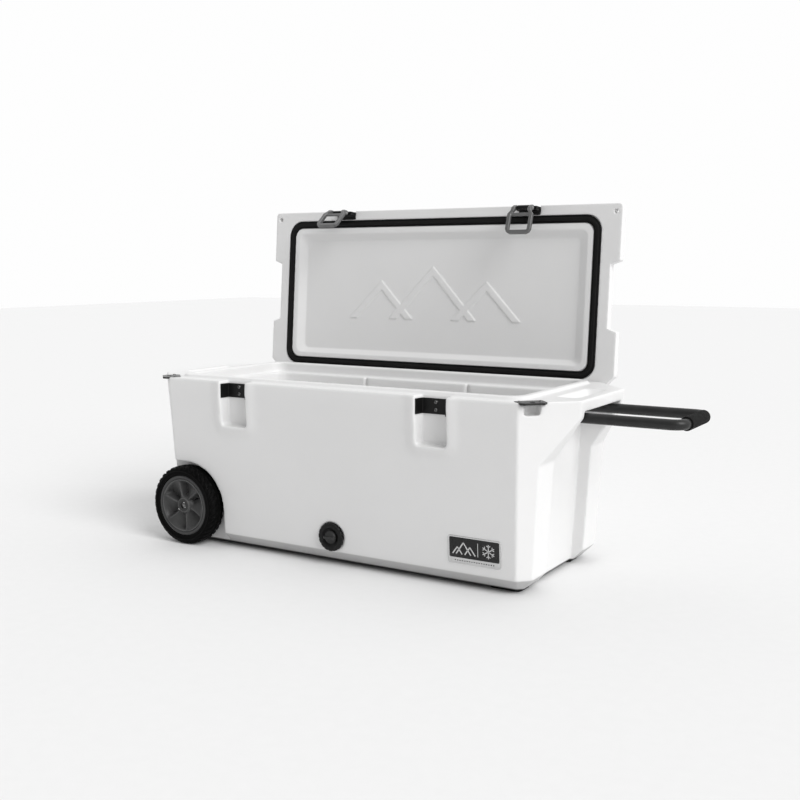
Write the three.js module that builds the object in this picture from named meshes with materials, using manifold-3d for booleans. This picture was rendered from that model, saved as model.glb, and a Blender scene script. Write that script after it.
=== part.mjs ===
// Wheeled hard cooler with its lid open: insulated tub, hinged lid, two latches, tow handle, two wheels
// and a drain.
// Millimetres. +X runs along the tub from the wheels to the tow handle, -Y is the front, +Z is up.
// The parts are drawn with z = 0 at the front face's lower edge line, then the whole is moved onto the floor.
import * as THREE from 'three';
import { ConvexGeometry } from 'three/addons/geometries/ConvexGeometry.js';
import * as BufferGeometryUtils from 'three/addons/utils/BufferGeometryUtils.js';
import Module from 'manifold-3d';

// ---------------------------------------------------------------- driving dimensions
const GAP = 0.3; // between faces that touch
const SMOOTH = 32; // segments round a small turned part
const TURN = Math.PI * 2;

// tub, outside
const LEDGE_Z = 375; // top ledge
const BASE_Z = -15; // underside
const SILL_Z = 12; // where the bottom chamfer starts
const HALF_DEPTH = 215; // at the ledge
const HALF_LENGTH = 551; // end overhangs, at the ledge
const POST_X = 493; // end posts, continued up to the ledge
const CORNER_SUM = 671; // x + y along the corner chamfer, at the ledge
const SIDE_DRAFT = 0.0587;
const CORNER_DRAFT = 0.085;
const SILL_INSET = 27;
const OVERHANG_Z = 340; // foot of the overhang's end face
const OVERHANG_DRAFT = 2.5; // how far that face leans in over its height
const GUSSET_Z = 247; // where the sloping gusset meets the post

// recess in each end, under the overhang
const RECESS_DEPTH = 30;
const RECESS_HALF = 98;
const RECESS_TOP_Z = 351;
const RECESS_FLARE = 5;

// tub, inside
const SEAL_Y = 6; // centre line of the seal, which sits back from the tub's centre
const LIP_TOP_Z = 382;
const LIP_OUT = { x: 451, y: 192 }; // half sizes
const LIP_IN = { x: 432, y: 170 };
const LIP_REAR = 4; // the lip's outer wall stands this much further in at the hinge side
const LIP_TAPER = { out: 2, in: 1 };
const TRAY_Z = 357; // shelf below the lip
const CAVITY = { x: 419, y: 157 }; // half sizes at the shelf
const CAVITY_DRAFT = 0.035;
const FLOOR_Z = 30;
const CORNER_R = { lipOut: 34, lipTop: 32, lipIn: 30, cavity: 38 };
const STEP_X = -296; // the raised floor over the axle ends here
const STEP_Z = 205;
const STEP_SLOPE = 8;
const SLOT = { x: 144, width: 8, depth: 6, foot: 60, lean: 12 };
const SUMP = { x: 28, y: 36, depth: 7 };

// hand scoops in the end ledges
const SCOOP = { x0: 478, x1: 526, half: 84, depth: 14, slope: 10, corner: 10, floorCorner: 8 };

// wheels and axle
const WHEEL = { x: -412, z: 72, radius: 94, rim: 72, face: 228, width: 50 };
const AXLE_R = 8;
const WELL = { radius: 101, inner: 171, front: -311 };

// hinge
const HINGE = { y: 204, z: 369, knuckle: 8, rod: 4, bore: 4.4, rodHalf: 395 };
const HINGE_REBATE = { y: 194.5, z: 354, half: 400 };
const KNUCKLE_FOOT = 3; // how far a tub knuckle's foot runs past the hinge line
const TUB_KNUCKLES = [[-396, -336], [-30, 30], [336, 396]];
const LID_KNUCKLES = [[-335, -31], [31, 335]];
const LID_OPEN = THREE.MathUtils.degToRad(94.7);

// lid, drawn closed
const LID_Z = 385; // inner face
const SKIRT_TOP = 407;
const CROWN_TOP = 434;
const LID = { x: 488, front: -206, rear: 213, corner: 8, chamfer: 29 };
const GRIP_NOTCH = { x: 466, y0: -70, y1: 76, slope: 8 };
const PAN = {
  x: 410, y0: -150, y1: 165, depth: 11, slope: 23, frontSlope: 18.4, rearSlope: 13.8, corner: 16, floorCorner: 12,
};
const PEAKS = {
  spread: 150, foot: 62, line: 14, mitre: 1.6, high: 132, wide: 250, sideHigh: 96, sideWide: 190, rise: 2,
};
const GASKET = { out: { x: 440, y: 188 }, in: { x: 422, y: 170 }, groove: 4, proud: 2.6, corner: 36, width: 12 };
const CROWN = { x: 455, y0: -178, y1: 188, slope: 27, corner: 24, topCorner: 18 };
const PADLOCK = { x: 473, y: -188, radius: 5 };
const PADLOCK_POCKET = { depth: 26, half: 20, out: 40, round: 16, back: 12, centre: -4 };
const CORNER_PLATE = {
  thickness: 4, slack: 0.4, hole: 4, screwAlong: 22, screwOut: -9, back: -22, shoulder: -18, nose: 19, half: 30,
  backCut: 5, sideTaper: 2, noseCut: 10, noseDepth: 8,
};

// screws
const SCREW = { shank: 2, bore: 2.3, head: 4, rim: 1, crown: 1.8, crownShare: 0.6, length: 13, seat: 0.1 };

// latches
const LATCH_X = 260;
const POCKET = { face: 37, floor: 33.6, floorY: -188, foot: 273, corner: 9, lean: 0.12 };
const KEEPER = { z0: 336, z1: 369, plate: 2, screws: [345, 361] };
const LATCH_NOTCH = { half: 27.5, y: -184, clear: 1.5 };
const LATCH_BASE = {
  front: -203, rearLow: -192.6, drop: 4, shoulder: 366, screws: [-12, 12], screwZ: 399, screwLength: 30,
};
const LATCH_PIN = { y: -197.5, z: 350, radius: 2.4 };
const TONGUE_HALF = 15.5;
const FRAME = {
  half: 32, inner: 23.2, foot: 282, thickness: 9, front: -212, footCorner: 11, rung: [326, 333], ear: [16.5, 25],
};
const LATCH_ANGLE = { left: 50, right: 19 }; // forward of hanging straight down

// tow handle
const HANDLE = { x: 475, z: 336, half: 83, reach: 739, radius: 11, bend: 24, eyeHalf: 9 };
const GRIP = { radius: 14, half: 58 };
const PIVOT_BOLT = { radius: 5, head: 9, headT: 4.7, length: 20 };

// drain, badge, feet
const DRAIN = {
  z: 45, flange: 32, bore: 14, pipe: 9, seatY: -192.6, innerY: -140, flangeT: 8, sealT: 1.5, nut: 17.5, nutT: 8,
};
const BADGE = { x: 355, z: 62, width: 120, height: 58, thickness: 1.6, border: 3, strip: 12, fieldT: 0.8 };
const FOOT = { x: 402, y: 128, length: 74, width: 52, corner: 10, taper: 2 };
const GROUND_Z = WHEEL.z - WHEEL.radius;

// ---------------------------------------------------------------- materials
const look = (color, roughness, metalness = 0) => new THREE.MeshStandardMaterial({ color, roughness, metalness });
const WHITE_PE = () => look(0xf1f1ee, 0.5);
const BLACK_RUBBER = () => look(0x151515, 0.85);
const BLACK_PLASTIC = () => look(0x1b1b1c, 0.45);
const DARK_PLASTIC = () => look(0x4a4b4d, 0.5);
const GREY_METAL = () => look(0x6d6e70, 0.4, 0.7);
const STEEL = () => look(0xc4c6c8, 0.3, 1);
const DARK_STEEL = () => look(0x55575a, 0.4, 1);
const COATED_TUBE = () => look(0x3c3d3f, 0.5, 0.4);

// ---------------------------------------------------------------- solids
const wasm = await Module();
wasm.setup();

function solid(geometry) {
  const bare = geometry.clone();
  bare.deleteAttribute('normal');
  bare.deleteAttribute('uv');
  const merged = BufferGeometryUtils.mergeVertices(bare, 1e-4);
  const vertProperties = new Float32Array(merged.attributes.position.array);
  const triVerts = new Uint32Array(merged.index.array);
  return new wasm.Manifold(new wasm.Mesh({ numProp: 3, vertProperties, triVerts }));
}

function geometryOf(body) {
  const mesh = body.getMesh();
  const geometry = new THREE.BufferGeometry();
  geometry.setAttribute('position', new THREE.BufferAttribute(new Float32Array(mesh.vertProperties), 3));
  geometry.setIndex(new THREE.BufferAttribute(new Uint32Array(mesh.triVerts), 1));
  const faceted = geometry.toNonIndexed();
  faceted.computeVertexNormals();
  return faceted;
}

const join = (...bodies) => bodies.reduce((sum, body) => sum.add(body));
const cut = (body, ...tools) => tools.reduce((left, tool) => left.subtract(tool), body);
const hull = (points) => solid(new ConvexGeometry(points.map((p) => new THREE.Vector3(...p))));

function box(x0, x1, y0, y1, z0, z1) {
  const geometry = new THREE.BoxGeometry(x1 - x0, y1 - y0, z1 - z0);
  return solid(geometry.translate((x0 + x1) / 2, (y0 + y1) / 2, (z0 + z1) / 2));
}

// A rectangle at one height, as four corners.
const sheet = (x0, x1, y0, y1, z) => [[x0, y0, z], [x1, y0, z], [x1, y1, z], [x0, y1, z]];

// A rectangle whose corners are rounded, at one height.
function roundedSheet(x0, x1, y0, y1, z, radius, steps = 5) {
  const points = [];
  const centres = [[x1 - radius, y1 - radius], [x0 + radius, y1 - radius], [x0 + radius, y0 + radius],
    [x1 - radius, y0 + radius]];
  centres.forEach(([cx, cy], quarter) => {
    for (let i = 0; i <= steps; i += 1) {
      const angle = (quarter + i / steps) * (Math.PI / 2);
      points.push([cx + radius * Math.cos(angle), cy + radius * Math.sin(angle), z]);
    }
  });
  return points;
}

function cylinder(axis, radius, from, to, a, b, segments = SMOOTH) {
  const geometry = new THREE.CylinderGeometry(radius, radius, to - from, segments);
  const middle = (from + to) / 2;
  if (axis === 'x') geometry.rotateZ(-Math.PI / 2).translate(middle, a, b);
  if (axis === 'y') geometry.translate(a, middle, b);
  if (axis === 'z') geometry.rotateX(Math.PI / 2).translate(a, b, middle);
  return solid(geometry);
}

// A turned solid whose axis runs along Y: the profile holds [radius, y] pairs, in either direction.
function turned(profile, segments, x = 0, z = 0) {
  const points = profile.map(([r, y]) => new THREE.Vector2(r, y));
  if (THREE.ShapeUtils.area(points) < 0) points.reverse();
  return solid(new THREE.LatheGeometry(points, segments).translate(x, 0, z));
}

function prism(outline, depth) {
  const shape = new THREE.Shape(outline.map(([x, y]) => new THREE.Vector2(x, y)));
  return new THREE.ExtrudeGeometry(shape, { depth, bevelEnabled: false });
}

function ring(radius, tube, axisY, x, z, segments = SMOOTH) {
  const geometry = new THREE.TorusGeometry(radius, tube, 10, segments);
  return solid(geometry.rotateX(Math.PI / 2).translate(x, axisY, z));
}

// ---------------------------------------------------------------- the scene graph
const cooler = new THREE.Group();
const lidGroup = new THREE.Group();
cooler.add(lidGroup);

function place(group, name, body, material) {
  const geometry = body instanceof THREE.BufferGeometry ? body : geometryOf(body);
  const mesh = new THREE.Mesh(geometry, material);
  mesh.name = name;
  group.add(mesh);
  return mesh;
}

// ---------------------------------------------------------------- tub
const frontY = (z) => -(HALF_DEPTH - SIDE_DRAFT * (LEDGE_Z - z));
const postX = (z) => POST_X - SIDE_DRAFT * (LEDGE_Z - z);
const cornerSum = (z) => CORNER_SUM - CORNER_DRAFT * (LEDGE_Z - z);

// Eight-sided plan of the tub at one height.
function plan(halfX, halfY, sum, z) {
  const points = [];
  for (const sx of [-1, 1]) {
    for (const sy of [-1, 1]) {
      points.push([sx * halfX, sy * (sum - halfX), z], [sx * (sum - halfY), sy * halfY, z]);
    }
  }
  return points;
}

function tubOutside() {
  const at = (z) => plan(postX(z), -frontY(z), cornerSum(z), z);
  const foot = plan(postX(SILL_Z) - SILL_INSET, -frontY(SILL_Z) - SILL_INSET,
    cornerSum(SILL_Z) - SILL_INSET * Math.SQRT2, BASE_Z);
  const body = hull([...at(LEDGE_Z), ...at(SILL_Z), ...foot]);
  const overhang = hull([
    ...plan(HALF_LENGTH, HALF_DEPTH, CORNER_SUM, LEDGE_Z),
    ...plan(HALF_LENGTH - OVERHANG_DRAFT, -frontY(OVERHANG_Z), cornerSum(OVERHANG_Z), OVERHANG_Z),
    ...plan(postX(GUSSET_Z), -frontY(GUSSET_Z), cornerSum(GUSSET_Z), GUSSET_Z),
  ]);
  const ring = (inset, z, radius) => roundedSheet(-LIP_OUT.x + inset, LIP_OUT.x - inset,
    SEAL_Y - LIP_OUT.y + inset, SEAL_Y + LIP_OUT.y - LIP_REAR - inset, z, radius);
  const lip = hull([
    ...ring(0, LEDGE_Z - 1, CORNER_R.lipOut),
    ...ring(LIP_TAPER.out, LIP_TOP_Z, CORNER_R.lipTop),
  ]);
  return join(body, overhang, lip);
}

function tubCavity() {
  const halfAt = (z) => ({
    x: CAVITY.x - CAVITY_DRAFT * (TRAY_Z - z),
    y: CAVITY.y - CAVITY_DRAFT * (TRAY_Z - z),
  });
  const at = (z, x0) => {
    const half = halfAt(z);
    return roundedSheet(x0 ?? -half.x, half.x, SEAL_Y - half.y, SEAL_Y + half.y, z, CORNER_R.cavity);
  };
  const mouthAt = (inset, z) => roundedSheet(-LIP_IN.x + inset, LIP_IN.x - inset, SEAL_Y - LIP_IN.y + inset,
    SEAL_Y + LIP_IN.y - inset, z, CORNER_R.lipIn);
  const mouth = hull([...mouthAt(0, LIP_TOP_Z + 1), ...mouthAt(LIP_TAPER.in, TRAY_Z)]);
  const upper = hull([...at(TRAY_Z + 1), ...at(STEP_Z)]);
  const lower = hull([...at(STEP_Z + 1, STEP_X), ...at(FLOOR_Z, STEP_X + STEP_SLOPE)]);
  const floorY = SEAL_Y - halfAt(FLOOR_Z).y;
  const sump = box(-SUMP.x, SUMP.x, floorY, floorY + SUMP.y, FLOOR_Z - SUMP.depth, FLOOR_Z + 1);
  const slots = [];
  for (const side of [-1, 1]) {
    const x = side * SLOT.x;
    const half = halfAt(TRAY_Z).y + SLOT.depth;
    slots.push(hull([
      ...sheet(x - SLOT.width / 2, x + SLOT.width / 2, SEAL_Y - half, SEAL_Y + half, TRAY_Z + 1),
      ...sheet(x - SLOT.width / 2, x + SLOT.width / 2, SEAL_Y - half + SLOT.lean, SEAL_Y + half - SLOT.lean,
        SLOT.foot),
    ]));
  }
  return join(mouth, upper, lower, sump, ...slots);
}

function endRecess(side) {
  const floorX = (z) => postX(z) - RECESS_DEPTH;
  const half = (x) => RECESS_HALF + RECESS_FLARE * (x > POST_X ? 1 : 0);
  const points = [];
  for (const z of [BASE_Z - 5, RECESS_TOP_Z]) {
    for (const x of [floorX(z), HALF_LENGTH + 20]) {
      points.push([side * x, -half(x), z], [side * x, half(x), z]);
    }
  }
  return hull(points);
}

function scoop(side) {
  const bottom = LEDGE_Z - SCOOP.depth;
  const [x0, x1] = side > 0 ? [SCOOP.x0, SCOOP.x1] : [-SCOOP.x1, -SCOOP.x0];
  return hull([
    ...roundedSheet(x0, x1, -SCOOP.half, SCOOP.half, LEDGE_Z + 1, SCOOP.corner),
    ...roundedSheet(x0 + SCOOP.slope, x1 - SCOOP.slope, -SCOOP.half + SCOOP.slope * 2,
      SCOOP.half - SCOOP.slope * 2, bottom, SCOOP.floorCorner),
  ]);
}

function wheelWell(side) {
  const from = side > 0 ? WELL.inner : -HALF_DEPTH - 20;
  const to = side > 0 ? HALF_DEPTH + 20 : -WELL.inner;
  const low = BASE_Z - 5;
  const arch = cylinder('y', WELL.radius, from, to, WHEEL.x, WHEEL.z, 64);
  const tail = box(-HALF_LENGTH - 20, WHEEL.x, from, to, low, WHEEL.z + WELL.radius);
  const nose = box(WHEEL.x - 1, WELL.front, from, to, low, WHEEL.z);
  return join(arch, tail, nose);
}

// Half width of a latch pocket at one depth.
function pocketHalf(y) {
  const flare = (POCKET.face - POCKET.floor) / (HALF_DEPTH + POCKET.floorY);
  return POCKET.floor + flare * (POCKET.floorY - y);
}

function latchPocket(side) {
  const x = side * LATCH_X;
  const { corner } = POCKET;
  const arcSteps = 4;
  const points = [];
  for (const y of [POCKET.floorY, -HALF_DEPTH - 10]) {
    const lean = (POCKET.floorY - y) * POCKET.lean;
    for (const sx of [-1, 1]) {
      points.push([x + sx * pocketHalf(y), y, LEDGE_Z + 1]);
      for (let i = 0; i <= arcSteps; i += 1) {
        const angle = (i / arcSteps) * (Math.PI / 2);
        points.push([
          x + sx * (pocketHalf(y) - corner + corner * Math.cos(angle)),
          y,
          POCKET.foot - lean + corner - corner * Math.sin(angle),
        ]);
      }
    }
  }
  return hull(points);
}

// Points round a padlock hole: along runs with the corner chamfer, out runs square to it.
function cornerPoint(side, along, out, z) {
  const k = Math.SQRT1_2;
  return [side * (PADLOCK.x + along * k + out * k), PADLOCK.y + along * k - out * k, z];
}

function padlockPocket(side) {
  const { depth, half, out, round, back, centre: middle } = PADLOCK_POCKET;
  const arcSteps = 6;
  const points = [];
  for (const z of [LEDGE_Z - depth, LEDGE_Z + 1]) {
    points.push(cornerPoint(side, -half, out, z), cornerPoint(side, half, out, z));
    for (let i = 0; i <= arcSteps; i += 1) {
      const angle = (i / arcSteps) * Math.PI;
      points.push(cornerPoint(side, round * Math.cos(angle), middle - back * Math.sin(angle), z));
    }
  }
  return hull(points);
}

// A corner plate without its holes, let into the ledge: grow widens it all round.
const PLATE_Z = LEDGE_Z - CORNER_PLATE.thickness;

function cornerPlateBlank(side, z0, z1, grow) {
  const { back, shoulder, nose, half, backCut, sideTaper, noseCut, noseDepth } = CORNER_PLATE;
  const right = [
    [half - backCut, back - grow], [half + grow, shoulder],
    [half - sideTaper + grow, nose - noseDepth], [half - noseCut, nose + grow],
  ];
  const outline = [...right, ...right.map(([along, out]) => [-along, out])];
  return hull([z0, z1].flatMap((z) => outline.map(([along, out]) => cornerPoint(side, along, out, z))));
}

function hingeKnuckle([x0, x1], radius) {
  return cylinder('x', radius, x0, x1, HINGE.y, HINGE.z, 24);
}

function buildTub() {
  let tub = cut(tubOutside(), tubCavity());
  for (const side of [-1, 1]) {
    tub = cut(tub, endRecess(side), scoop(side), wheelWell(side), latchPocket(side), padlockPocket(side));
  }
  const rebate = box(-HINGE_REBATE.half, HINGE_REBATE.half, HINGE_REBATE.y, HALF_DEPTH + 5, HINGE_REBATE.z,
    LEDGE_Z + 10);
  tub = cut(tub, rebate);
  for (const span of TUB_KNUCKLES) {
    const foot = box(...span, HINGE_REBATE.y - 2, HINGE.y + KNUCKLE_FOOT, HINGE_REBATE.z - 2, HINGE.z - 2);
    tub = join(tub, hingeKnuckle(span, HINGE.knuckle), foot);
  }
  const rodBore = cylinder('x', HINGE.bore, -HINGE_REBATE.half - 1, HINGE_REBATE.half + 1, HINGE.y, HINGE.z, 24);
  const axleBore = cylinder('y', AXLE_R + GAP, -HALF_DEPTH, HALF_DEPTH, WHEEL.x, WHEEL.z, 24);
  const drainSeat = cylinder('y', DRAIN.flange + 1.5, -HALF_DEPTH - 5, DRAIN.seatY, 0, DRAIN.z, 48);
  const drainBore = cylinder('y', DRAIN.bore + GAP, -HALF_DEPTH, DRAIN.innerY + 10, 0, DRAIN.z);
  tub = cut(tub, rodBore, axleBore, drainSeat, drainBore);
  for (const side of [-1, 1]) {
    for (const z of KEEPER.screws) {
      tub = cut(tub, cylinder('y', SCREW.bore, POCKET.floorY - 1, POCKET.floorY + SCREW.length, side * LATCH_X,
        z, 12));
    }
    const wall = side * (RECESS_HALF - 4);
    const end = wall + side * (PIVOT_BOLT.length + 9);
    tub = cut(tub, cylinder('y', PIVOT_BOLT.radius + GAP, Math.min(wall, end), Math.max(wall, end), HANDLE.x,
      HANDLE.z, 20));
    tub = cut(tub, cornerPlateBlank(side, PLATE_Z, LEDGE_Z + 1, CORNER_PLATE.slack));
    for (const along of [-CORNER_PLATE.screwAlong, CORNER_PLATE.screwAlong]) {
      const [x, y] = cornerPoint(side, along, CORNER_PLATE.screwOut, 0);
      tub = cut(tub, cylinder('z', SCREW.bore, LEDGE_Z - SCREW.length - 1, LEDGE_Z + 1, x, y, 12));
    }
  }
  return tub;
}
place(cooler, 'tub', buildTub(), WHITE_PE());

// ---------------------------------------------------------------- screws
// A screw along Y with its head towards the front (-Y): the face that the head seats on is at seat.
function screwY(x, seat, z, length) {
  const { shank, head, rim, crown, crownShare } = SCREW;
  const profile = [[0, seat + length], [shank, seat + length], [shank, seat], [head, seat],
    [head, seat - rim], [head * crownShare, seat - crown], [0, seat - crown]];
  return turned(profile, 16, x, z);
}

// ---------------------------------------------------------------- fittings on the tub
function buildKeeper(side) {
  const x = side * LATCH_X;
  const front = frontY(KEEPER.z1) + 1;
  const outer = (y) => pocketHalf(y) - GAP;
  const back = POCKET.floorY - GAP;
  const block = (inset, y0, y1, extra) => {
    const points = [];
    for (const z of [KEEPER.z0 - extra, KEEPER.z1 + extra]) {
      for (const sx of [-1, 1]) {
        points.push([x + sx * (outer(y0) - inset), y0, z], [x + sx * (outer(y1) - inset), y1, z]);
      }
    }
    return hull(points);
  };
  let keeper = block(0, front, back, 0);
  keeper = cut(keeper, block(KEEPER.plate, front - 1, back - KEEPER.plate, 1));
  for (const z of KEEPER.screws) {
    keeper = cut(keeper, cylinder('y', SCREW.bore, back - 5, back + 5, x, z, 12));
  }
  return keeper;
}

for (const [side, label] of [[-1, 'left'], [1, 'right']]) {
  place(cooler, `keeper_${label}`, buildKeeper(side), BLACK_PLASTIC());
  const seat = POCKET.floorY - GAP - KEEPER.plate - SCREW.seat;
  ['low', 'high'].forEach((level, i) => place(cooler, `keeper_screw_${label}_${level}`,
    screwY(side * LATCH_X, seat, KEEPER.screws[i], SCREW.length), STEEL()));
}

function buildCornerPlate(side) {
  const low = PLATE_Z + GAP;
  const high = low + CORNER_PLATE.thickness;
  const [hx, hy] = cornerPoint(side, 0, CORNER_PLATE.hole, 0);
  let plate = cut(cornerPlateBlank(side, low, high, 0),
    cylinder('z', PADLOCK.radius + 1, low - 1, high + 1, hx, hy, 24));
  for (const along of [-CORNER_PLATE.screwAlong, CORNER_PLATE.screwAlong]) {
    const [x, y] = cornerPoint(side, along, CORNER_PLATE.screwOut, 0);
    plate = cut(plate, cylinder('z', SCREW.bore, low - 1, high + 1, x, y, 12));
  }
  return plate;
}

function cornerScrew(side, along) {
  const [x, y] = cornerPoint(side, along, CORNER_PLATE.screwOut, 0);
  const seat = LEDGE_Z + GAP + SCREW.seat;
  const shank = cylinder('z', SCREW.shank, seat - SCREW.length, seat + 0.5, x, y, 16);
  return join(shank, cylinder('z', SCREW.head, seat, seat + SCREW.crown, x, y, 16));
}

for (const [side, label] of [[-1, 'left'], [1, 'right']]) {
  place(cooler, `corner_plate_${label}`, buildCornerPlate(side), DARK_STEEL());
  place(cooler, `corner_screw_${label}_front`, cornerScrew(side, -CORNER_PLATE.screwAlong), STEEL());
  place(cooler, `corner_screw_${label}_end`, cornerScrew(side, CORNER_PLATE.screwAlong), STEEL());
}

// ---------------------------------------------------------------- drain
const sealBack = DRAIN.seatY - GAP;
const bodyBack = sealBack - DRAIN.sealT - GAP;
const bodyFront = bodyBack - DRAIN.flangeT;
const DISH = { depth: 3, rim: 3, out: 21, in: 17 }; // the dish in the flange's face, which seats the plug
const plugSeat = bodyFront + DISH.depth - GAP;
const PLUG = { stem: 7.6, neck: 6, neckFrom: 15, neckTo: 19, end: 26, cap: 14, capT: 4, crown: 11, crownT: 6.5 };
const WING = { half: 15, rise: 12, thickness: 6 };

function buildDrainSeal() {
  const inner = DRAIN.bore + 1;
  const outer = DRAIN.flange - DISH.rim;
  return turned([[inner, sealBack], [outer, sealBack], [outer, sealBack - DRAIN.sealT],
    [inner, sealBack - DRAIN.sealT], [inner, sealBack]], 40, 0, DRAIN.z);
}

function buildDrainBody() {
  const dish = bodyFront + DISH.depth;
  const neck = DRAIN.bore - GAP;
  const inside = DRAIN.innerY + 12;
  return turned([[DRAIN.pipe, dish], [DRAIN.pipe, inside], [neck, inside], [neck, bodyBack],
    [DRAIN.flange, bodyBack], [DRAIN.flange, dish], [DRAIN.flange - DISH.rim, bodyFront], [DISH.out, bodyFront],
    [DISH.in, dish], [DRAIN.pipe, dish]], 48, 0, DRAIN.z);
}

function buildDrainNut() {
  const corners = [...Array(6).keys()].map((i) => [
    DRAIN.nut * Math.cos((i * TURN) / 6), DRAIN.nut * Math.sin((i * TURN) / 6)]);
  const hexagon = prism(corners, DRAIN.nutT).rotateX(Math.PI / 2).translate(0, DRAIN.innerY + 10, DRAIN.z);
  return cut(solid(hexagon), cylinder('y', DRAIN.bore, DRAIN.innerY, DRAIN.innerY + 20, 0, DRAIN.z));
}

function buildDrainPlug() {
  const { stem, neck, neckFrom, neckTo, end, cap, capT, crown, crownT } = PLUG;
  const profile = [[0, plugSeat + end], [stem, plugSeat + end], [stem, plugSeat + neckTo],
    [neck, plugSeat + neckTo], [neck, plugSeat + neckFrom], [stem, plugSeat + neckFrom], [stem, plugSeat],
    [cap, plugSeat], [cap, plugSeat - capT], [crown, plugSeat - crownT + 0.5], [0, plugSeat - crownT]];
  const wing = box(-WING.half, WING.half, plugSeat - WING.rise, plugSeat - capT, DRAIN.z - WING.thickness / 2,
    DRAIN.z + WING.thickness / 2);
  return join(turned(profile, SMOOTH, 0, DRAIN.z), wing);
}

place(cooler, 'drain_seal', buildDrainSeal(), BLACK_RUBBER());
place(cooler, 'drain_body', buildDrainBody(), BLACK_PLASTIC());
place(cooler, 'drain_nut', buildDrainNut(), BLACK_PLASTIC());
place(cooler, 'drain_plug', buildDrainPlug(), BLACK_PLASTIC());
place(cooler, 'drain_plug_ring', ring(7.5, 1.2, plugSeat + (PLUG.neckFrom + PLUG.neckTo) / 2, 0, DRAIN.z, 24),
  BLACK_RUBBER());

// ---------------------------------------------------------------- badge: a plain plate with a raised dark field
function badgePart(x0, x1, z0, z1, t0, t1) {
  const geometry = new THREE.BoxGeometry(x1 - x0, t1 - t0, z1 - z0);
  geometry.translate((x0 + x1) / 2, -(t0 + t1) / 2, (z0 + z1) / 2);
  geometry.rotateX(Math.atan(SIDE_DRAFT));
  return solid(geometry.translate(BADGE.x, frontY(BADGE.z), BADGE.z));
}
place(cooler, 'badge_plate', badgePart(-BADGE.width / 2, BADGE.width / 2, -BADGE.height / 2, BADGE.height / 2,
  GAP, GAP + BADGE.thickness), STEEL());
const fieldFrom = GAP * 2 + BADGE.thickness;
place(cooler, 'badge_field', badgePart(-BADGE.width / 2 + BADGE.border, BADGE.width / 2 - BADGE.border,
  -BADGE.height / 2 + BADGE.strip, BADGE.height / 2 - BADGE.border, fieldFrom, fieldFrom + BADGE.fieldT),
BLACK_PLASTIC());

// ---------------------------------------------------------------- feet
for (const [side, label] of [[-1, 'front'], [1, 'rear']]) {
  const at = (inset, z) => roundedSheet(FOOT.x - FOOT.length / 2 + inset, FOOT.x + FOOT.length / 2 - inset,
    side * FOOT.y - FOOT.width / 2 + inset, side * FOOT.y + FOOT.width / 2 - inset, z, FOOT.corner - inset / 2);
  place(cooler, `foot_${label}`, hull([...at(0, BASE_Z - GAP), ...at(FOOT.taper, GROUND_Z)]), BLACK_RUBBER());
}

// ---------------------------------------------------------------- axle and wheels
place(cooler, 'axle', cylinder('y', AXLE_R, -WHEEL.face - 2, WHEEL.face + 2, WHEEL.x, WHEEL.z, 24), STEEL());

const TYRE = { segments: 48, bead: 6, shoulder: 8, crown: 2, blocks: 20 };
const GROOVE = { width: 4, length: 19, depth: 8, angle: 0.45, from: 0.2, to: 0.8 };

function buildTyre(side) {
  const out = side * WHEEL.face;
  const inn = side * (WHEEL.face - WHEEL.width);
  const r = WHEEL.radius;
  const bore = WHEEL.rim + GAP;
  const across = (t) => out + (inn - out) * t;
  const half = [[bore, 0.04], [bore + TYRE.bead, 0], [r - TYRE.shoulder, 0], [r - TYRE.crown, 0.12], [r, 0.3]];
  const profile = [...half, ...half.map(([radius, t]) => [radius, 1 - t]).reverse(), half[0]];
  const grooves = [];
  for (let i = 0; i < TYRE.blocks; i += 1) {
    for (const row of [0, 1]) {
      const groove = new THREE.BoxGeometry(GROOVE.width, GROOVE.length, GROOVE.depth);
      groove.rotateZ((row ? -1 : 1) * side * GROOVE.angle);
      groove.translate(0, across(row ? GROOVE.to : GROOVE.from), r);
      groove.rotateY(((i + row / 2) / TYRE.blocks) * TURN);
      grooves.push(solid(groove));
    }
  }
  return cut(turned(profile.map(([radius, t]) => [radius, across(t)]), TYRE.segments), ...grooves);
}

const HUB = { radius: 17, bore: AXLE_R + 2.6, inset: 4 };
const RIM = { wall: 7, inset: 3 };
const SPOKE = { count: 6, hubSpread: 0.51, rimSpread: 0.4, hubDepth: 6, rimDepth: 4, thickness: 7, twist: 5 };

function buildRim(side) {
  const out = side * (WHEEL.face - RIM.inset);
  const inn = side * (WHEEL.face - WHEEL.width + RIM.inset);
  const r = WHEEL.rim;
  const barrel = turned([[r - RIM.wall, out], [r, out], [r, inn], [r - RIM.wall, inn], [r - RIM.wall, out]],
    TYRE.segments);
  const face = out - side * HUB.inset;
  const hub = turned([[HUB.bore, face], [HUB.radius, face], [HUB.radius, inn], [HUB.bore, inn], [HUB.bore, face]],
    36);
  const ends = [[HUB.radius - 3, SPOKE.hubSpread, SPOKE.hubDepth], [r - 5, SPOKE.rimSpread, SPOKE.rimDepth]];
  const blades = [];
  for (let i = 0; i < SPOKE.count; i += 1) {
    const points = [];
    for (const [radius, spread, depth] of ends) {
      for (const sign of [-1, 1]) {
        for (const layer of [0, SPOKE.thickness]) {
          const y = out - side * (depth + layer + (sign > 0 ? SPOKE.twist : 0));
          points.push(new THREE.Vector3(radius * Math.cos(sign * spread), y, radius * Math.sin(sign * spread)));
        }
      }
    }
    blades.push(solid(new ConvexGeometry(points).rotateY((i / SPOKE.count) * TURN)));
  }
  return join(barrel, hub, ...blades);
}

// A plain ring round the axle, from one y to another.
function axleRing(inner, outer, from, to) {
  const points = [[inner, from], [outer, from], [outer, to], [inner, to], [inner, from]];
  return turned(points, 28);
}

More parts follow.
